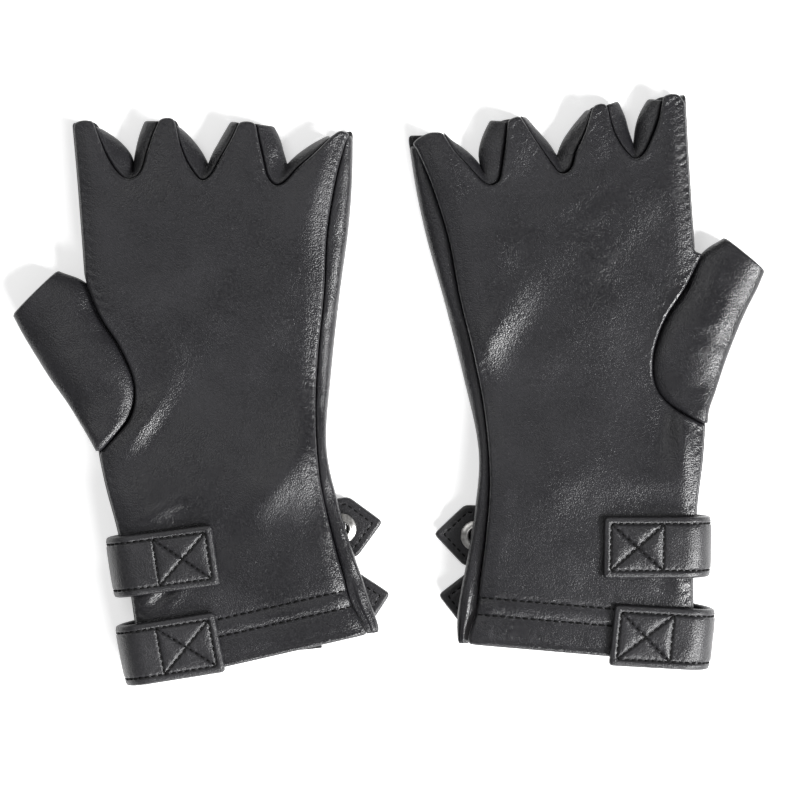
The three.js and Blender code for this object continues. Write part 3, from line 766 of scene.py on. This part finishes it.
def make_palm(glove):
    outline = palm_outline(glove)
    flat, faces, near = fill(outline, 1.5)
    u, v = flat[:, 0], flat[:, 1]
    height = palm_height(glove, u, v) + palm_folds(glove, u, v)
    above_hem = v - hem_at(u) + HEM_SAG[glove.side]
    sewn = smoothstep(above_hem, 2, 6)
    height = height - EDGE_DROP * np.maximum(0, 1 - near / EDGE_REACH) ** 2 * sewn
    ripple = np.sin(2 * math.pi * (u * 0.8 + v) / PUCKER_PITCH + 2 * value_noise(u, v, 9, 77))
    height = height + PUCKER * ripple * np.exp(-((near - 3.0) / 1.8) ** 2) * sewn
    outer = np.column_stack([u, v, height])
    groove = sum(np.exp(-((above_hem - row) / 0.75) ** 2) for row in HEM_ROWS)
    bead = 0.45 * np.exp(-((near - 1.2) / 0.8) ** 2)
    between = 0.3 * np.exp(-((above_hem - 16) / 2.2) ** 2) + 0.35 * np.exp(-((above_hem - 6) / 3.5) ** 2)
    relief = bead - 0.6 * groove + between
    points, skin = shell(flat, faces, near, lambda _: (outer, mesh_normals(outer, faces)),
                         LEATHER, 0.9, relief)
    build = Build().add(points, skin)
    sag = HEM_SAG[glove.side]
    for row in HEM_ROWS:
        line, normals = hem_row(palm_place(glove), row - sag, float(thumb_edge(0)) + 2,
                                float(palm_side(glove, row)) - 1.2)
        build.add(*stitches(line - normals * 0.25, normals, radius=0.36), mark=1)
    palm = build.make(glove, glove.node("palm"), [LOOK["palm"], LOOK["thread"]])
    hand_over(palm, glove.body, glove.node("palm_panel"))


# The back panel is unrolled into a flat pattern: its round thumb side, its flat and its lip.
THUMB_ROUND, LITTLE_ROUND, LITTLE_RISE = 7.0, 5.0, 3.0
THUMB_ARC, LIP_ARC = 14.0, 6.4


def back_place(flat):
    u, v = flat[:, 0], flat[:, 1]
    floor = back_level(v)
    left = thumb_edge(v) + THUMB_ROUND
    right = little_edge(v) - LITTLE_ROUND
    rise = seam_level(v) - floor
    turn_left = np.clip((left - u) / THUMB_ARC, -0.02, 1) * math.pi / 2
    turn_right = np.clip((u - right) / LIP_ARC, 0, 1) * math.pi / 2
    x = np.where(u < left, left - THUMB_ROUND * np.sin(turn_left),
                 np.where(u > right, right + LITTLE_ROUND * np.sin(turn_right), u))
    z = np.where(u < left, floor + rise * (1 - np.cos(turn_left)),
                 np.where(u > right, floor + LITTLE_RISE * (1 - np.cos(turn_right)), floor))
    return np.column_stack([x, v, z])


def back_surface(flat):
    points, normals = surface_normals(back_place, flat)
    return points, -normals


def back_outline(glove):
    hem_u = np.linspace(float(thumb_edge(-6)) + THUMB_ROUND - THUMB_ARC,
                        float(little_edge(3)) - LITTLE_ROUND + LIP_ARC, 40)
    hem = np.column_stack([hem_u, hem_at(hem_u)])
    side_v = np.linspace(4.2, 205, 90)
    right = np.column_stack([little_edge(side_v) - LITTLE_ROUND + LIP_ARC, side_v])
    tips = fingertips(glove, "back", float(thumb_edge(221)) + THUMB_ROUND - THUMB_ARC,
                      float(little_edge(206)) - LITTLE_ROUND + LIP_ARC)[::-1]
    left_v = np.linspace(221, 160, 40)
    upper = np.column_stack([thumb_edge(left_v) + THUMB_ROUND - THUMB_ARC, left_v])
    notch_v = np.array([157, 150, 135, 115, 100, 92.0])
    notch_in = np.array([3, 8.5, 12.5, 12.5, 8.5, 2])
    notch = np.column_stack([thumb_edge(notch_v) + THUMB_ROUND - THUMB_ARC + notch_in, notch_v])
    lower_v = np.linspace(88, -6.5, 60)
    lower = np.column_stack([thumb_edge(lower_v) + THUMB_ROUND - THUMB_ARC, lower_v])
    whole = np.vstack([hem, right, tips, upper, notch, lower])
    return rounded(spaced(np.vstack([whole, whole[:1]]), 1.4)[:-1])


def make_back(glove):
    flat, faces, near = fill(back_outline(glove), 2.6, rings=(0.3, 0.8, 1.5, 2.6, 4.2))
    seed = 12 if glove.mirrored else 11
    above_hem = flat[:, 1] - hem_at(flat[:, 0])
    groove = sum(np.exp(-((above_hem - row) / 0.8) ** 2) for row in HEM_ROWS)
    bead = 0.35 * np.exp(-((near - 1.3) / 0.9) ** 2)
    rolls = 0.25 * value_noise(flat[:, 0], flat[:, 1], 30, seed) - 0.25
    relief = bead - 0.35 * groove + rolls * smoothstep(near, 2, 12)
    points, skin = shell(flat, faces, near, back_surface, LEATHER, 0.9, relief, under=-0.2 * rolls)
    points[:, 2] = np.maximum(points[:, 2], 0.0)
    build = Build().add(points, skin)
    for row in HEM_ROWS:
        line, normals = hem_row(back_surface, row, float(thumb_edge(0)) + 3,
                                float(little_edge(0)) - 4)
        build.add(*stitches(line - normals * 0.3, normals), mark=1)
    back = build.make(glove, glove.node("back"), [LOOK["palm"], LOOK["thread"]])
    hand_over(back, glove.body, glove.node("back_panel"))


def grid_faces(rows, columns, closed=False):
    faces = []
    for i in range(rows - 1):
        for j in range(columns if closed else columns - 1):
            k = (j + 1) % columns
            faces.append([i * columns + j, i * columns + k, (i + 1) * columns + k, (i + 1) * columns + j])
    return faces


def slab(outer, inner):
    """A closed slab between two grids of points of the same shape (rows, columns, 3)."""
    rows, columns = outer.shape[:2]
    top = grid_faces(rows, columns)
    count = rows * columns
    faces = top + [[i + count for i in reversed(f)] for f in top]
    rim = ([(0, j) for j in range(columns)] + [(i, columns - 1) for i in range(1, rows)]
           + [(rows - 1, j) for j in range(columns - 2, -1, -1)] + [(i, 0) for i in range(rows - 2, 0, -1)])
    ids = [i * columns + j for i, j in rim]
    for a, b in zip(ids, ids[1:] + ids[:1]):
        faces.append([b, a, a + count, b + count])
    return np.vstack([outer.reshape(-1, 3), inner.reshape(-1, 3)]), faces


def grid_normals(grid):
    return unit(np.cross(np.gradient(grid, axis=1), np.gradient(grid, axis=0)))


def rounded_slab(middle, thick, sign=1, edge=3):
    """A slab about a middle grid whose rim is rounded over a few rows and columns."""
    rows, columns = middle.shape[:2]
    i, j = np.mgrid[0:rows, 0:columns]
    rim = np.minimum(np.minimum(i, rows - 1 - i), np.minimum(j, columns - 1 - j))
    part = np.clip(rim / edge, 0, 1)
    half = thick / 2 * np.sqrt(1 - (1 - part) ** 2)[..., None]
    normal = grid_normals(middle) * sign
    return slab(middle + normal * half, middle - normal * half)


def make_gusset(glove):
    rows, columns = 190, 20
    sag = HEM_SAG[glove.side]
    v = np.linspace(float(hem_at(51)) - sag, 206.0, rows)[:, None]
    t = np.linspace(0, 1, columns)[None, :]
    low_u, low_z = strip_side(glove, v) - 0.5, back_level(v) + LITTLE_RISE + GAP
    high_u, high_z = palm_side(glove, v) - 0.5, seam_level(v) - 1.2
    shoulder_u, shoulder_z = strip_side(glove, v) - 0.2, lerp(low_z, high_z, 0.85)
    ease = smoothstep(v, 190, 208)
    u = (1 - t) ** 2 * low_u + 2 * t * (1 - t) * shoulder_u + t**2 * high_u
    z = (1 - t) ** 2 * low_z + 2 * t * (1 - t) * shoulder_z + t**2 * high_z
    seed = 22 if glove.mirrored else 21
    sway = 0.6 * value_noise(v, t * 6, 22, seed) + 0.3 * value_noise(v, t * 9, 7, seed + 1)
    arch = np.sin(math.pi * t)
    z = z + (sway + 0.7) * arch * (1 - ease) - 0.3 * ease
    u = u + 0.4 * sway * arch
    gathered = 1 - smoothstep(v - float(hem_at(51)), 17, 24)
    ridges = np.maximum(0, np.cos(2 * math.pi * (t * 3.2 - 0.1))) * smoothstep(t, 0.25, 0.45)
    z = z + 0.75 * ridges * gathered
    middle = np.dstack([u, np.broadcast_to(v, u.shape), z])
    build = Build().add(*rounded_slab(middle, LEATHER))
    row = np.linspace(3, columns - 2, 24)
    for above in HEM_ROWS:
        i = int(np.argmin(np.abs(v[:, 0] - hem_at(51) - above + sag)))
        skin = middle + grid_normals(middle) * LEATHER / 2
        line = np.column_stack([np.interp(row, np.arange(columns), skin[i, :, k]) for k in range(3)])
        up = np.tile((0.35, 0, 0.94), (len(line), 1))
        build.add(*stitches(line, up, pitch=2.4, radius=0.34), mark=1)
    gusset = build.make(glove, glove.node("side_strip"), [LOOK["palm"], LOOK["thread"]])
    hand_over(gusset, glove.body, glove.node("side_gusset"))


def make_fourchette(glove, name):
    """The folded strip between two fingers, standing out into the gap in a soft roll."""
    columns, rows = 72, 18
    palm, crest = gap_lines(glove, name, columns)
    back = lerp(crest, palm, 0.3)
    t = np.linspace(0, 1, rows)[:, None]
    seed = 31 + FINGER_GAPS.index(name) * 2 + glove.mirrored
    inward = unit(palm - crest)
    under = palm + inward * 0.4
    middle_uv = []
    for k in (0, 1):
        control = 2 * crest[:, k] - (under[:, k] + back[:, k]) / 2
        middle_uv.append((1 - t) ** 2 * back[:, k] + 2 * t * (1 - t) * control + t**2 * under[:, k])
    u, v = middle_uv
    sway = 0.35 * value_noise(np.arange(columns)[None, :] * 1.0, t * 8, 9, seed) * np.sin(math.pi * t)
    low = back_level(v) + LEATHER - 0.1
    high = palm_height(glove, under[:, 0], under[:, 1]) - EDGE_DROP - LEATHER * 0.35
    z = lerp(low, high, t**0.8) + sway
    middle = np.dstack([u, v, z])
    piece = Build().add(*rounded_slab(middle, 1.0)).make(
        glove, glove.node(f"{name}_gusset"), [LOOK["palm"]])
    hand_over(piece, glove.body, glove.node(f"{name}_fourchette"))


# ---------------------------------------------------------------- thumb


def make_thumb(glove):
    rings, around = 110, 84
    pairs = np.array(THUMB[glove.side], float)
    outer_edge, inner_edge = spline(pairs[:, 0], rings), spline(pairs[:, 1], rings)
    t = np.linspace(0, 1, rings)
    centre = (outer_edge + inner_edge) / 2
    half_width = np.linalg.norm(inner_edge - outer_edge, axis=1) / 2
    across = unit(inner_edge - outer_edge)
    root_top = palm_level(centre[:, 1]) + 2.2
    top = lerp(13.0, root_top, smoothstep(t, 0.05, 0.6))
    bottom = lerp(0.6, root_top - 9, smoothstep(t, 0.3, 1))
    end = np.sqrt(np.clip(1 - ((t - 0.88) / 0.12).clip(0, 1) ** 2, 0.01, 1))
    half_height = (top - bottom) / 2 * lerp(1, end, 0.8)
    angle = np.linspace(0, 2 * math.pi, around, endpoint=False)
    seed = 42 if glove.mirrored else 41
    cos, sin = np.cos(angle), np.sin(angle)

    def tube(inset):
        wide = (half_width - inset)[:, None] * np.sign(cos) * np.abs(cos) ** 0.95
        tall = (half_height - inset)[:, None] * np.sign(sin) * np.abs(sin) ** 0.8
        dent = 0.5 * value_noise(t[:, None] * 70, cos[None, :] * 12, 10, seed)
        dent = dent + 0.25 * value_noise(t[:, None] * 70, cos[None, :] * 12, 4.5, seed + 1)
        tall = tall + dent * np.sin(math.pi * t)[:, None] * np.maximum(sin, 0) ** 0.5
        middle = ((top + bottom) / 2)[:, None]
        return np.dstack([centre[:, :1] + across[:, :1] * wide,
                          centre[:, 1:] + across[:, 1:] * wide, middle + tall])

    outer, inner = tube(0), tube(LEATHER)
    edge = (outer[0] + inner[0]) / 2 + unit(outer[0] - outer[2]) * 0.5
    count = rings * around
    points = np.vstack([outer.reshape(-1, 3), inner.reshape(-1, 3), edge])
    faces = grid_faces(rings, around, closed=True)
    faces += [[i + count for i in reversed(f)] for f in grid_faces(rings, around, closed=True)]
    last = (rings - 1) * around
    for k in range(around):
        n = (k + 1) % around
        faces.append([2 * count + k, 2 * count + n, n, k])
        faces.append([count + k, count + n, 2 * count + n, 2 * count + k])
        faces.append([last + k, last + n, count + last + n, count + last + k])
    thumb = Build().add(points, faces).make(glove, glove.node("thumb"), [LOOK["palm"]])
    hand_over(thumb, glove.body, glove.node("thumb_stall"))


# ---------------------------------------------------------------- hem bands and label


def make_hem(glove, which):
    rows, columns = 24, 60
    if which == "palm":
        u = np.linspace(float(thumb_edge(0)) + 6, float(palm_seam(0)) - 6, columns)
    else:
        u = np.linspace(float(thumb_edge(0)) + 9, float(little_edge(0)) - 7, columns)
    rise = np.linspace(0.4, 20.5, rows)
    flat = np.column_stack([np.tile(u, rows), np.repeat(rise, columns) + hem_at(np.tile(u, rows))])
    place = palm_place(glove) if which == "palm" else back_surface
    points, normals = place(flat)
    middle = (points - normals * (LEATHER + GAP + 0.6)).reshape(rows, columns, 3)
    band = Build().add(*rounded_slab(middle, 1.1, edge=2)).make(
        glove, glove.node(f"{which}_hem_band"), [LOOK["lining"]])
    hand_over(band, glove.body, glove.node(f"{which}_hem"))


def make_label(glove):
    """A blank woven tape folded in half, its fold looking out below the hem."""
    low, high = (np.array(c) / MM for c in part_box("left_cuff_label"))
    centre = (low + high) / 2
    wide, long, columns, rows = 13.5, 9.0, 30, 40
    turn = Glove.TURN["left"]
    s = np.linspace(-1, 1, rows)
    along = np.where(np.abs(s) > 0.15, np.abs(s), 0.15 - np.sqrt(np.clip(0.0225 - s * s, 0, 1)) * 0.15)
    u = np.linspace(-wide / 2, wide / 2, columns)[None, :] + np.zeros((rows, 1))
    v = (along * long - long / 2)[:, None] + np.zeros((1, columns))
    lift = 0.38 * np.sign(s) * np.minimum(1, np.abs(s) / 0.12) + 0.1
    z = lift[:, None] + 0.12 * np.sin(u * 0.7)
    x = centre[0] + u * math.cos(turn) - v * math.sin(turn)
    y = centre[1] + u * math.sin(turn) + v * math.cos(turn)
    middle = np.dstack([x, y, centre[2] + z])
    label = Build().add(*rounded_slab(middle, 0.35, edge=1)).make(
        glove, "left_blank_label", [LOOK["label"]], local=False)
    hand_over(label, glove.body, "left_cuff_label")


# ---------------------------------------------------------------- straps


class Strap:
    """One strap's own frame, worked out from its joints: x to the tip, y along the fold."""

    def __init__(self, glove, name):
        self.glove, self.name = glove, name
        self.prefix = f"{glove.side}_{name}"
        joints = {j["name"]: j for j in frame["joints"]}
        top, bottom, peel = (np.array(joints[f"{self.prefix}_{part}"]["pos_m"]) / MM
                             for part in ("fold", "unfold", "peel"))
        sign = -1 if glove.mirrored else 1
        self.along = sign * np.array(joints[f"{self.prefix}_fold"]["axis"])
        self.ahead = np.array([self.along[1], -self.along[0], 0]) * sign
        outside = (top[2] - bottom[2]) / 2 / math.cos(math.pi / 4)
        self.centre_z = (top[2] + bottom[2]) / 2
        self.radius = outside - STRAP_THICK / 2
        middle = (top + bottom) / 2
        self.origin = middle + self.ahead * outside * math.sin(math.pi / 4)
        self.origin[2] = 0
        self.half_turn = math.pi * self.radius
        self.slant = (bottom - top) @ self.along / (self.half_turn / 2)
        self.peel = (peel - self.origin) @ self.ahead
        self.tip = self.box_reach("strap_tip")
        self.tab = self.box_reach("strap_tab")
        snap = self.box_centre("snap_socket")
        self.snap = (snap - self.origin) @ self.ahead
        self.snap_centre = snap
        self.tab_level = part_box(f"{self.prefix}_strap_tab")[1].z / MM - STRAP_THICK / 2

    def box_centre(self, part):
        low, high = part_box(f"{self.prefix}_{part}")
        return (np.array(low) + np.array(high)) / 2 / MM

    def box_reach(self, part):
        mesh = frame["nodes"][f"{self.prefix}_{part}"].data
        points = np.array([v.co for v in mesh.vertices]) / MM
        return float(((points - self.origin) @ self.ahead).max())

    def place(self, flat):
        """Points and outward normals of the strap's middle surface at (distance, width)."""
        d, q = flat[:, 0], flat[:, 1]
        y = (d - self.half_turn / 2) * self.slant + q * math.hypot(1, self.slant)
        angle = np.clip(d / self.radius, 0, math.pi)
        climb = np.maximum(d - self.half_turn, 0) * 1.4 / 85.0
        x = np.where(d <= 0, -d, np.where(d <= self.half_turn, -self.radius * np.sin(angle),
                                          d - self.half_turn))
        z = np.where(d <= 0, self.tab_level, np.where(
            d <= self.half_turn, self.centre_z + self.radius * np.cos(angle), STRAP_THICK / 2 + climb))
        normal = (self.ahead * (-np.sin(angle))[:, None]) + np.array([0, 0, 1.0]) * np.cos(angle)[:, None]
        points = self.origin + self.ahead * x[:, None] + self.along * y[:, None]
        points[:, 2] = z
        return points, unit(normal)

    def outline(self):
        half = STRAP_WIDTH / 2
        end = self.half_turn + self.tip
        start = -self.tab
        shoulder = end - 12.5
        corners = [(start, -half), (shoulder, -half), (end, 0), (shoulder, half), (start, half)]
        return rounded(spaced(np.array(corners + corners[:1]), 1.0)[:-1], passes=3)


EDGE_ROW = 3.0  # the edge stitching's distance from the strap's edge
BOX_INSET, BOX_LONG = 3.0, 21.5
STRAP_EDGE_ROUND = 1.3
STRAP_PAD = {"left": 0.6, "right": 1.0}  # how full the padding is
STITCH = 2.75


def strap_rows(strap):
    """The strap's stitch lines in its flat pattern: round the edge, and the box and cross."""
    half = STRAP_WIDTH / 2 - EDGE_ROW
    start = -strap.tab + EDGE_ROW
    end = strap.half_turn + strap.tip - EDGE_ROW * 1.45
    shoulder = end - half
    edge = np.array([(start, -half), (shoulder, -half), (end, 0), (shoulder, half), (start, half),
                     (start, -half)])
    stop = start + BOX_LONG
    box = [np.array([(stop, -half), (stop, half)]),
           np.array([(start, -half), (stop, half)]),
           np.array([(start, half), (stop, -half)])]
    return edge, box


def row_points(lines, low, high):
    """Extra mesh points along stitch lines, so that their grooves are crisp."""
    points = []
    for line in rows_inside(lines, low, high):
        ahead = unit(np.gradient(line, axis=0))
        side = np.column_stack([-ahead[:, 1], ahead[:, 0]])
        points += [line[1:-1] + side[1:-1] * off for off in (-1.0, -0.45, 0.0, 0.45, 1.0)]
    return np.vstack(points)


def strap_relief(strap, flat, near):
    """How far the padded outer face swells between its stitch lines."""
    edge, box = strap_rows(strap)
    to_rows = np.minimum.reduce([to_line(flat, line) for line in [edge, *box]])
    stop = -strap.tab + EDGE_ROW + BOX_LONG
    in_box = smoothstep(-flat[:, 0], -stop - 0.3, -stop + 0.3)
    depth = STRAP_PAD[strap.glove.side]
    pad = 0.4 * (1 - np.exp(-to_rows / 0.45)) + depth * lerp(0.4, 0.85, in_box) * (1 - np.exp(-to_rows / 2.4))
    rim = near < EDGE_ROW
    pad = np.where(rim, 0.45 * (1 - np.exp(-to_rows / 0.5)), pad)
    pad = pad - 0.35 * np.exp(-((near - 1.15) / 0.35) ** 2)
    groove = 0.4 * np.exp(-(to_rows / 0.4) ** 2)
    beside_row = np.exp(-((to_rows - 0.9) / 0.7) ** 2)
    gather = 0.12 * depth * np.cos(2 * math.pi * flat[:, 0] / STITCH) * beside_row
    noise = value_noise(flat[:, 0], flat[:, 1], 7, 50 + len(strap.prefix)) * 0.14
    relief = pad - groove + (noise + gather) * (1 - rim)
    to_snap = np.hypot(flat[:, 0] - strap.half_turn - strap.snap, flat[:, 1])
    pressed = 1 - smoothstep(to_snap, 6.4, 8.2)
    relief = lerp(relief, -0.05, pressed)
    return relief - sunk(strap, flat[:, 0]) * (1 - pressed)


def sunk(strap, distance):
    """How far the padding is drawn in where the strap lies face down under the cuff."""
    full = 0.54 + 0.4 * STRAP_PAD[strap.glove.side]
    return full * smoothstep(distance, strap.half_turn * 0.5, strap.half_turn * 0.95)


def rows_inside(lines, low, high):
    """The parts of flat stitch lines between two distances along the strap."""
    kept = []
    for line in lines:
        dense = spaced(line, 0.5)
        inside = (dense[:, 0] >= low) & (dense[:, 0] <= high)
        starts = np.flatnonzero(np.diff(np.r_[False, inside, False].astype(int)))
        for a, b in starts.reshape(-1, 2):
            if b - a > 5:
                kept.append(dense[a:b])
    return kept


def strap_piece(strap, part, low, high, spacing=1.25):
    """One stretch of strap between two distances, cut square where it meets the next stretch."""
    glove = strap.glove
    whole = strap.outline()
    clipped = clip_outline(whole, low, high)
    edge, box = strap_rows(strap)
    low_row = low if low is not None else -1e3
    high_row = high if high is not None else 1e3
    extra = row_points([edge, *box], low_row + 1, high_row - 1)
    flat, faces, _ = fill(clipped, spacing, rings=(0.3, 0.6, 0.95, 1.3, 1.8), extra=[extra])
    near = to_line(flat, whole, True)
    relief = strap_relief(strap, flat, near)
    under = -0.15 * np.exp(-((near - EDGE_ROW) / 0.7) ** 2)

    def outer(points_2d):
        points, normals = strap.place(points_2d)
        return points + normals * STRAP_THICK / 2, normals

    points, skin = shell(flat, faces, near, outer, STRAP_THICK, STRAP_EDGE_ROUND, relief, under)
    build = Build().add(points, skin)
    for line in rows_inside([edge, *box], low_row + 0.4, high_row - 0.4):
        on, normals = strap.place(line)
        lift = (STRAP_THICK / 2 - 0.2 - sunk(strap, line[:, 0]))[:, None]
        build.add(*stitches(on + normals * lift, normals, pitch=STITCH, radius=0.44), mark=1)
    for line in rows_inside([edge], low_row + 0.4, high_row - 0.4):
        on, normals = strap.place(line)
        lift = STRAP_THICK / 2 - 0.25
        build.add(*stitches(on - normals * lift, -normals, pitch=2.9), mark=1)
    piece = build.make(glove, f"{strap.prefix}_{part}", [LOOK["strap"], LOOK["thread"]], local=False)
    return piece


def clip_outline(outline, low, high):
    """The part of a closed outline between two x values, with straight cut ends."""
    for limit, keep_above in ((low, True), (high, False)):
        if limit is None:
            continue
        kept = []
        count = len(outline)
        for i in range(count):
            a, b = outline[i], outline[(i + 1) % count]
            a_in = a[0] >= limit if keep_above else a[0] <= limit
            b_in = b[0] >= limit if keep_above else b[0] <= limit
            if a_in:
                kept.append(a)
            if a_in != b_in:
                kept.append(a + (b - a) * (limit - a[0]) / (b[0] - a[0]))
        outline = np.array(kept)
    dense = []
    for a, b in zip(outline, np.roll(outline, -1, 0)):
        steps = max(1, int(round(np.linalg.norm(b - a) / 1.1)))
        dense += [a + (b - a) * k / steps for k in range(steps)]
    return np.array(dense)


def world_point(strap, distance):
    point, _ = strap.place(np.array([[distance, 0.0]]))
    return tuple(point[0] * MM)


def make_strap(glove, name):
    strap = Strap(glove, name)
    arc = strap.half_turn
    bodies = [glove.body] + [f"{strap.prefix}_{part}" for part in ("loop", "run", "tip")]
    peel = arc + strap.peel
    tip_start = peel - 10

    sewn = strap_piece(strap, "strap_end", None, arc / 2)
    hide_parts(f"{strap.prefix}_strap_tab")
    world_point(strap, arc * 0.06)
    world_point(strap, arc * 0.44)
    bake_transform(sewn)

    band = strap_piece(strap, "strap_band", arc / 2, tip_start)
    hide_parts(f"{strap.prefix}_strap_loop", f"{strap.prefix}_strap_run")
    world_point(strap, arc * 0.56)
    world_point(strap, arc * 0.94)
    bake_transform(band)

    point = strap_piece(strap, "strap_point", tip_start, None)
    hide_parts(f"{strap.prefix}_strap_tip")
    world_point(strap, peel - 8)
    world_point(strap, peel + 2.5)
    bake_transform(point)
    make_snaps(strap, bodies)


def set_down(build, strap, node_name, looks, body):
    made = build.make(strap.glove, f"{node_name}_detailed", looks, local=False)
    hand_over(made, body, node_name)


def make_snaps(strap, bodies):
    x, y, _ = strap.snap_centre
    at = lambda points, z: np.asarray(points) + np.array([x, y, z])
    leather_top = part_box(f"{strap.prefix}_snap_socket")[0].z / MM
    cap_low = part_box(f"{strap.prefix}_snap_cap")[0].z / MM

    socket = [(2.1, 0.0), (5.9, 0.0), (6.2, 0.15), (6.25, 0.45), (6.1, 0.75), (5.8, 0.95), (5.4, 1.12),
              (5.0, 1.3), (4.6, 1.52), (4.3, 1.75), (4.05, 2.0), (3.8, 2.15), (3.5, 2.2), (3.2, 2.12),
              (3.0, 1.9), (3.05, 1.5), (3.0, 1.1), (2.9, 0.8), (2.3, 0.7), (2.1, 0.5), (2.1, 0.0)]
    points, faces = revolve(socket, 64)
    build = Build()
    for face in faces:
        # Faces inside the socket's bore take the near-black metal: painted shade in the hole.
        radius, height = np.hypot(*points[face].mean(0)[:2]), points[face].mean(0)[2]
        build.marks.append(1 if radius < 3.2 and height < 1.9 else 0)
    build.points, build.faces, build.count = [at(points, leather_top)], faces, len(points)
    set_down(build, strap, f"{strap.prefix}_snap_socket", [LOOK["nickel"], LOOK["well_shade"]], bodies[3])

    wire = spline([(1.55, -3.5), (1.6, -1.5), (1.6, 1.6), (1.0, 3.2), (-0.8, 3.4), (-1.6, 1.8),
                   (-1.6, -1.5), (-1.5, -3.5)], 60)
    build = Build()
    ring = np.arange(8) * math.pi / 4
    ahead = unit(np.gradient(wire, axis=0))
    side = np.column_stack([-ahead[:, 1], ahead[:, 0], np.zeros(60)])
    thick = 0.34
    tube = (np.column_stack([wire, np.full(60, 1.3)])[:, None, :]
            + side[:, None, :] * (thick * np.cos(ring))[None, :, None]
            + np.array([0, 0, 1.0]) * (thick * np.sin(ring))[None, :, None])
    faces = grid_faces(60, 8, closed=True) + [list(range(8)), list(range(59 * 8, 60 * 8))[::-1]]
    build.add(at(tube.reshape(-1, 3), leather_top), faces)
    set_down(build, strap, f"{strap.prefix}_snap_spring", [LOOK["spring"]], bodies[3])

    cap = [(0.0, 0.0), (2.5, 0.02), (4.4, 0.14), (5.5, 0.36), (6.05, 0.62), (6.25, 0.88), (6.2, 1.06),
           (6.0, 1.12), (1.7, 1.12), (1.7, 4.2), (1.9, 4.45), (1.7, 4.75), (1.0, 4.82), (0.0, 4.82)]
    points, faces = revolve(cap, 64)
    set_down(Build().add(at(points, cap_low), faces), strap, f"{strap.prefix}_snap_cap",
             [LOOK["nickel"]], bodies[3])

    stud_x, stud_y, _ = strap.box_centre("snap_stud")
    lift = lambda points, z: np.asarray(points) + np.array([stud_x, stud_y, z])
    stud_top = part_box(f"{strap.prefix}_snap_stud")[1].z / MM
    stud = [(0.0, -3.3), (1.3, -3.28), (1.95, -3.1), (2.4, -2.7), (2.5, -2.35), (2.35, -1.95), (2.1, -1.6),
            (2.15, -1.2), (3.0, -0.98), (4.4, -0.85), (4.9, -0.6), (5.0, -0.3), (4.9, -0.05), (4.7, 0.0),
            (0.0, 0.0)]
    points, faces = revolve(stud, 48)
    set_down(Build().add(lift(points, stud_top), faces), strap, f"{strap.prefix}_snap_stud",
             [LOOK["nickel"]], bodies[0])
    post_low, post_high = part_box(f"{strap.prefix}_snap_post")
    tall = (post_high.z - post_low.z) / MM
    post = [(0.0, 0.0), (1.6, 0.0), (1.7, 0.1), (1.7, tall - 1.0), (4.2, tall - 1.0), (4.45, tall - 0.85),
            (4.45, tall - 0.6), (4.2, tall - 0.42), (3.4, tall - 0.2), (2.6, tall - 0.05), (1.8, tall),
            (1.0, tall - 0.25), (0.0, tall - 0.3)]
    points, faces = revolve(post, 48)
    set_down(Build().add(lift(points, post_low.z / MM), faces), strap, f"{strap.prefix}_snap_post",
             [LOOK["nickel"]], bodies[0])


# ---------------------------------------------------------------- the pair


def make_glove(side):
    glove = Glove(side)
    make_palm(glove)
    make_back(glove)
    make_gusset(glove)
    for name in FINGER_GAPS:
        make_fourchette(glove, name)
    make_thumb(glove)
    make_hem(glove, "palm")
    make_hem(glove, "back")
    if side == "left":
        make_label(glove)
    for name in STRAPS:
        make_strap(glove, name)


# ---------------------------------------------------------------- stage


def make_stage():
    white = bpy.data.materials.new("paper_floor")
    white.use_nodes = True
    shader = white.node_tree.nodes["Principled BSDF"]
    shader.inputs["Base Color"].default_value = (0.9, 0.9, 0.9, 1)
    shader.inputs["Roughness"].default_value = 0.9
    shader.inputs["Specular IOR Level"].default_value = 0.1
    shader.inputs["Emission Color"].default_value = (1, 1, 1, 1)
    shader.inputs["Emission Strength"].default_value = 0.5
    mesh = bpy.data.meshes.new("floor")
    half, level = 3.0, -0.0004  # just under the gloves
    mesh.from_pydata([(-half, -half, level), (half, -half, level), (half, half, level),
                      (-half, half, level)], [], [(0, 1, 2, 3)])
    mesh.materials.append(white)
    floor = bpy.data.objects.new("floor", mesh)
    bpy.context.scene.collection.objects.link(floor)

    scene = bpy.context.scene
    world = bpy.data.worlds.new("studio")
    world.use_nodes = True
    world.node_tree.nodes["Background"].inputs["Color"].default_value = (1, 1, 1, 1)
    world.node_tree.nodes["Background"].inputs["Strength"].default_value = 0.26
    scene.world = world
    scene.view_settings.view_transform = "Standard"

    def softbox(name, place, size, power):
        light = bpy.data.lights.new(name, "AREA")
        light.shape = "RECTANGLE"
        light.size, light.size_y = size
        light.energy = power
        lamp = bpy.data.objects.new(name, light)
        lamp.location = place
        aim = Vector((0, 0, 0)) - Vector(place)
        lamp.rotation_euler = aim.to_track_quat("-Z", "Y").to_euler()
        scene.collection.objects.link(lamp)

    softbox("key", (1.3, -0.55, 1.1), (0.45, 0.45), 56)
    softbox("front", (0.45, -1.25, 0.8), (0.5, 0.3), 22)
    softbox("top", (-0.8, 0.9, 1.7), (1.1, 1.1), 8)


def make_camera():
    camera = bpy.data.cameras.new("camera")
    camera.lens = 150
    camera.sensor_width = 36
    seen = 0.3266  # width that the picture covers at mid-height of the gloves
    away = seen * camera.lens / camera.sensor_width
    eye = bpy.data.objects.new("camera", camera)
    eye.location = (0.0034, -0.0043, away + 0.012)
    camera.clip_end = 20
    bpy.context.scene.collection.objects.link(eye)
    bpy.context.scene.camera = eye


make_camera()
for side in SIDES:
    make_glove(side)
make_stage()
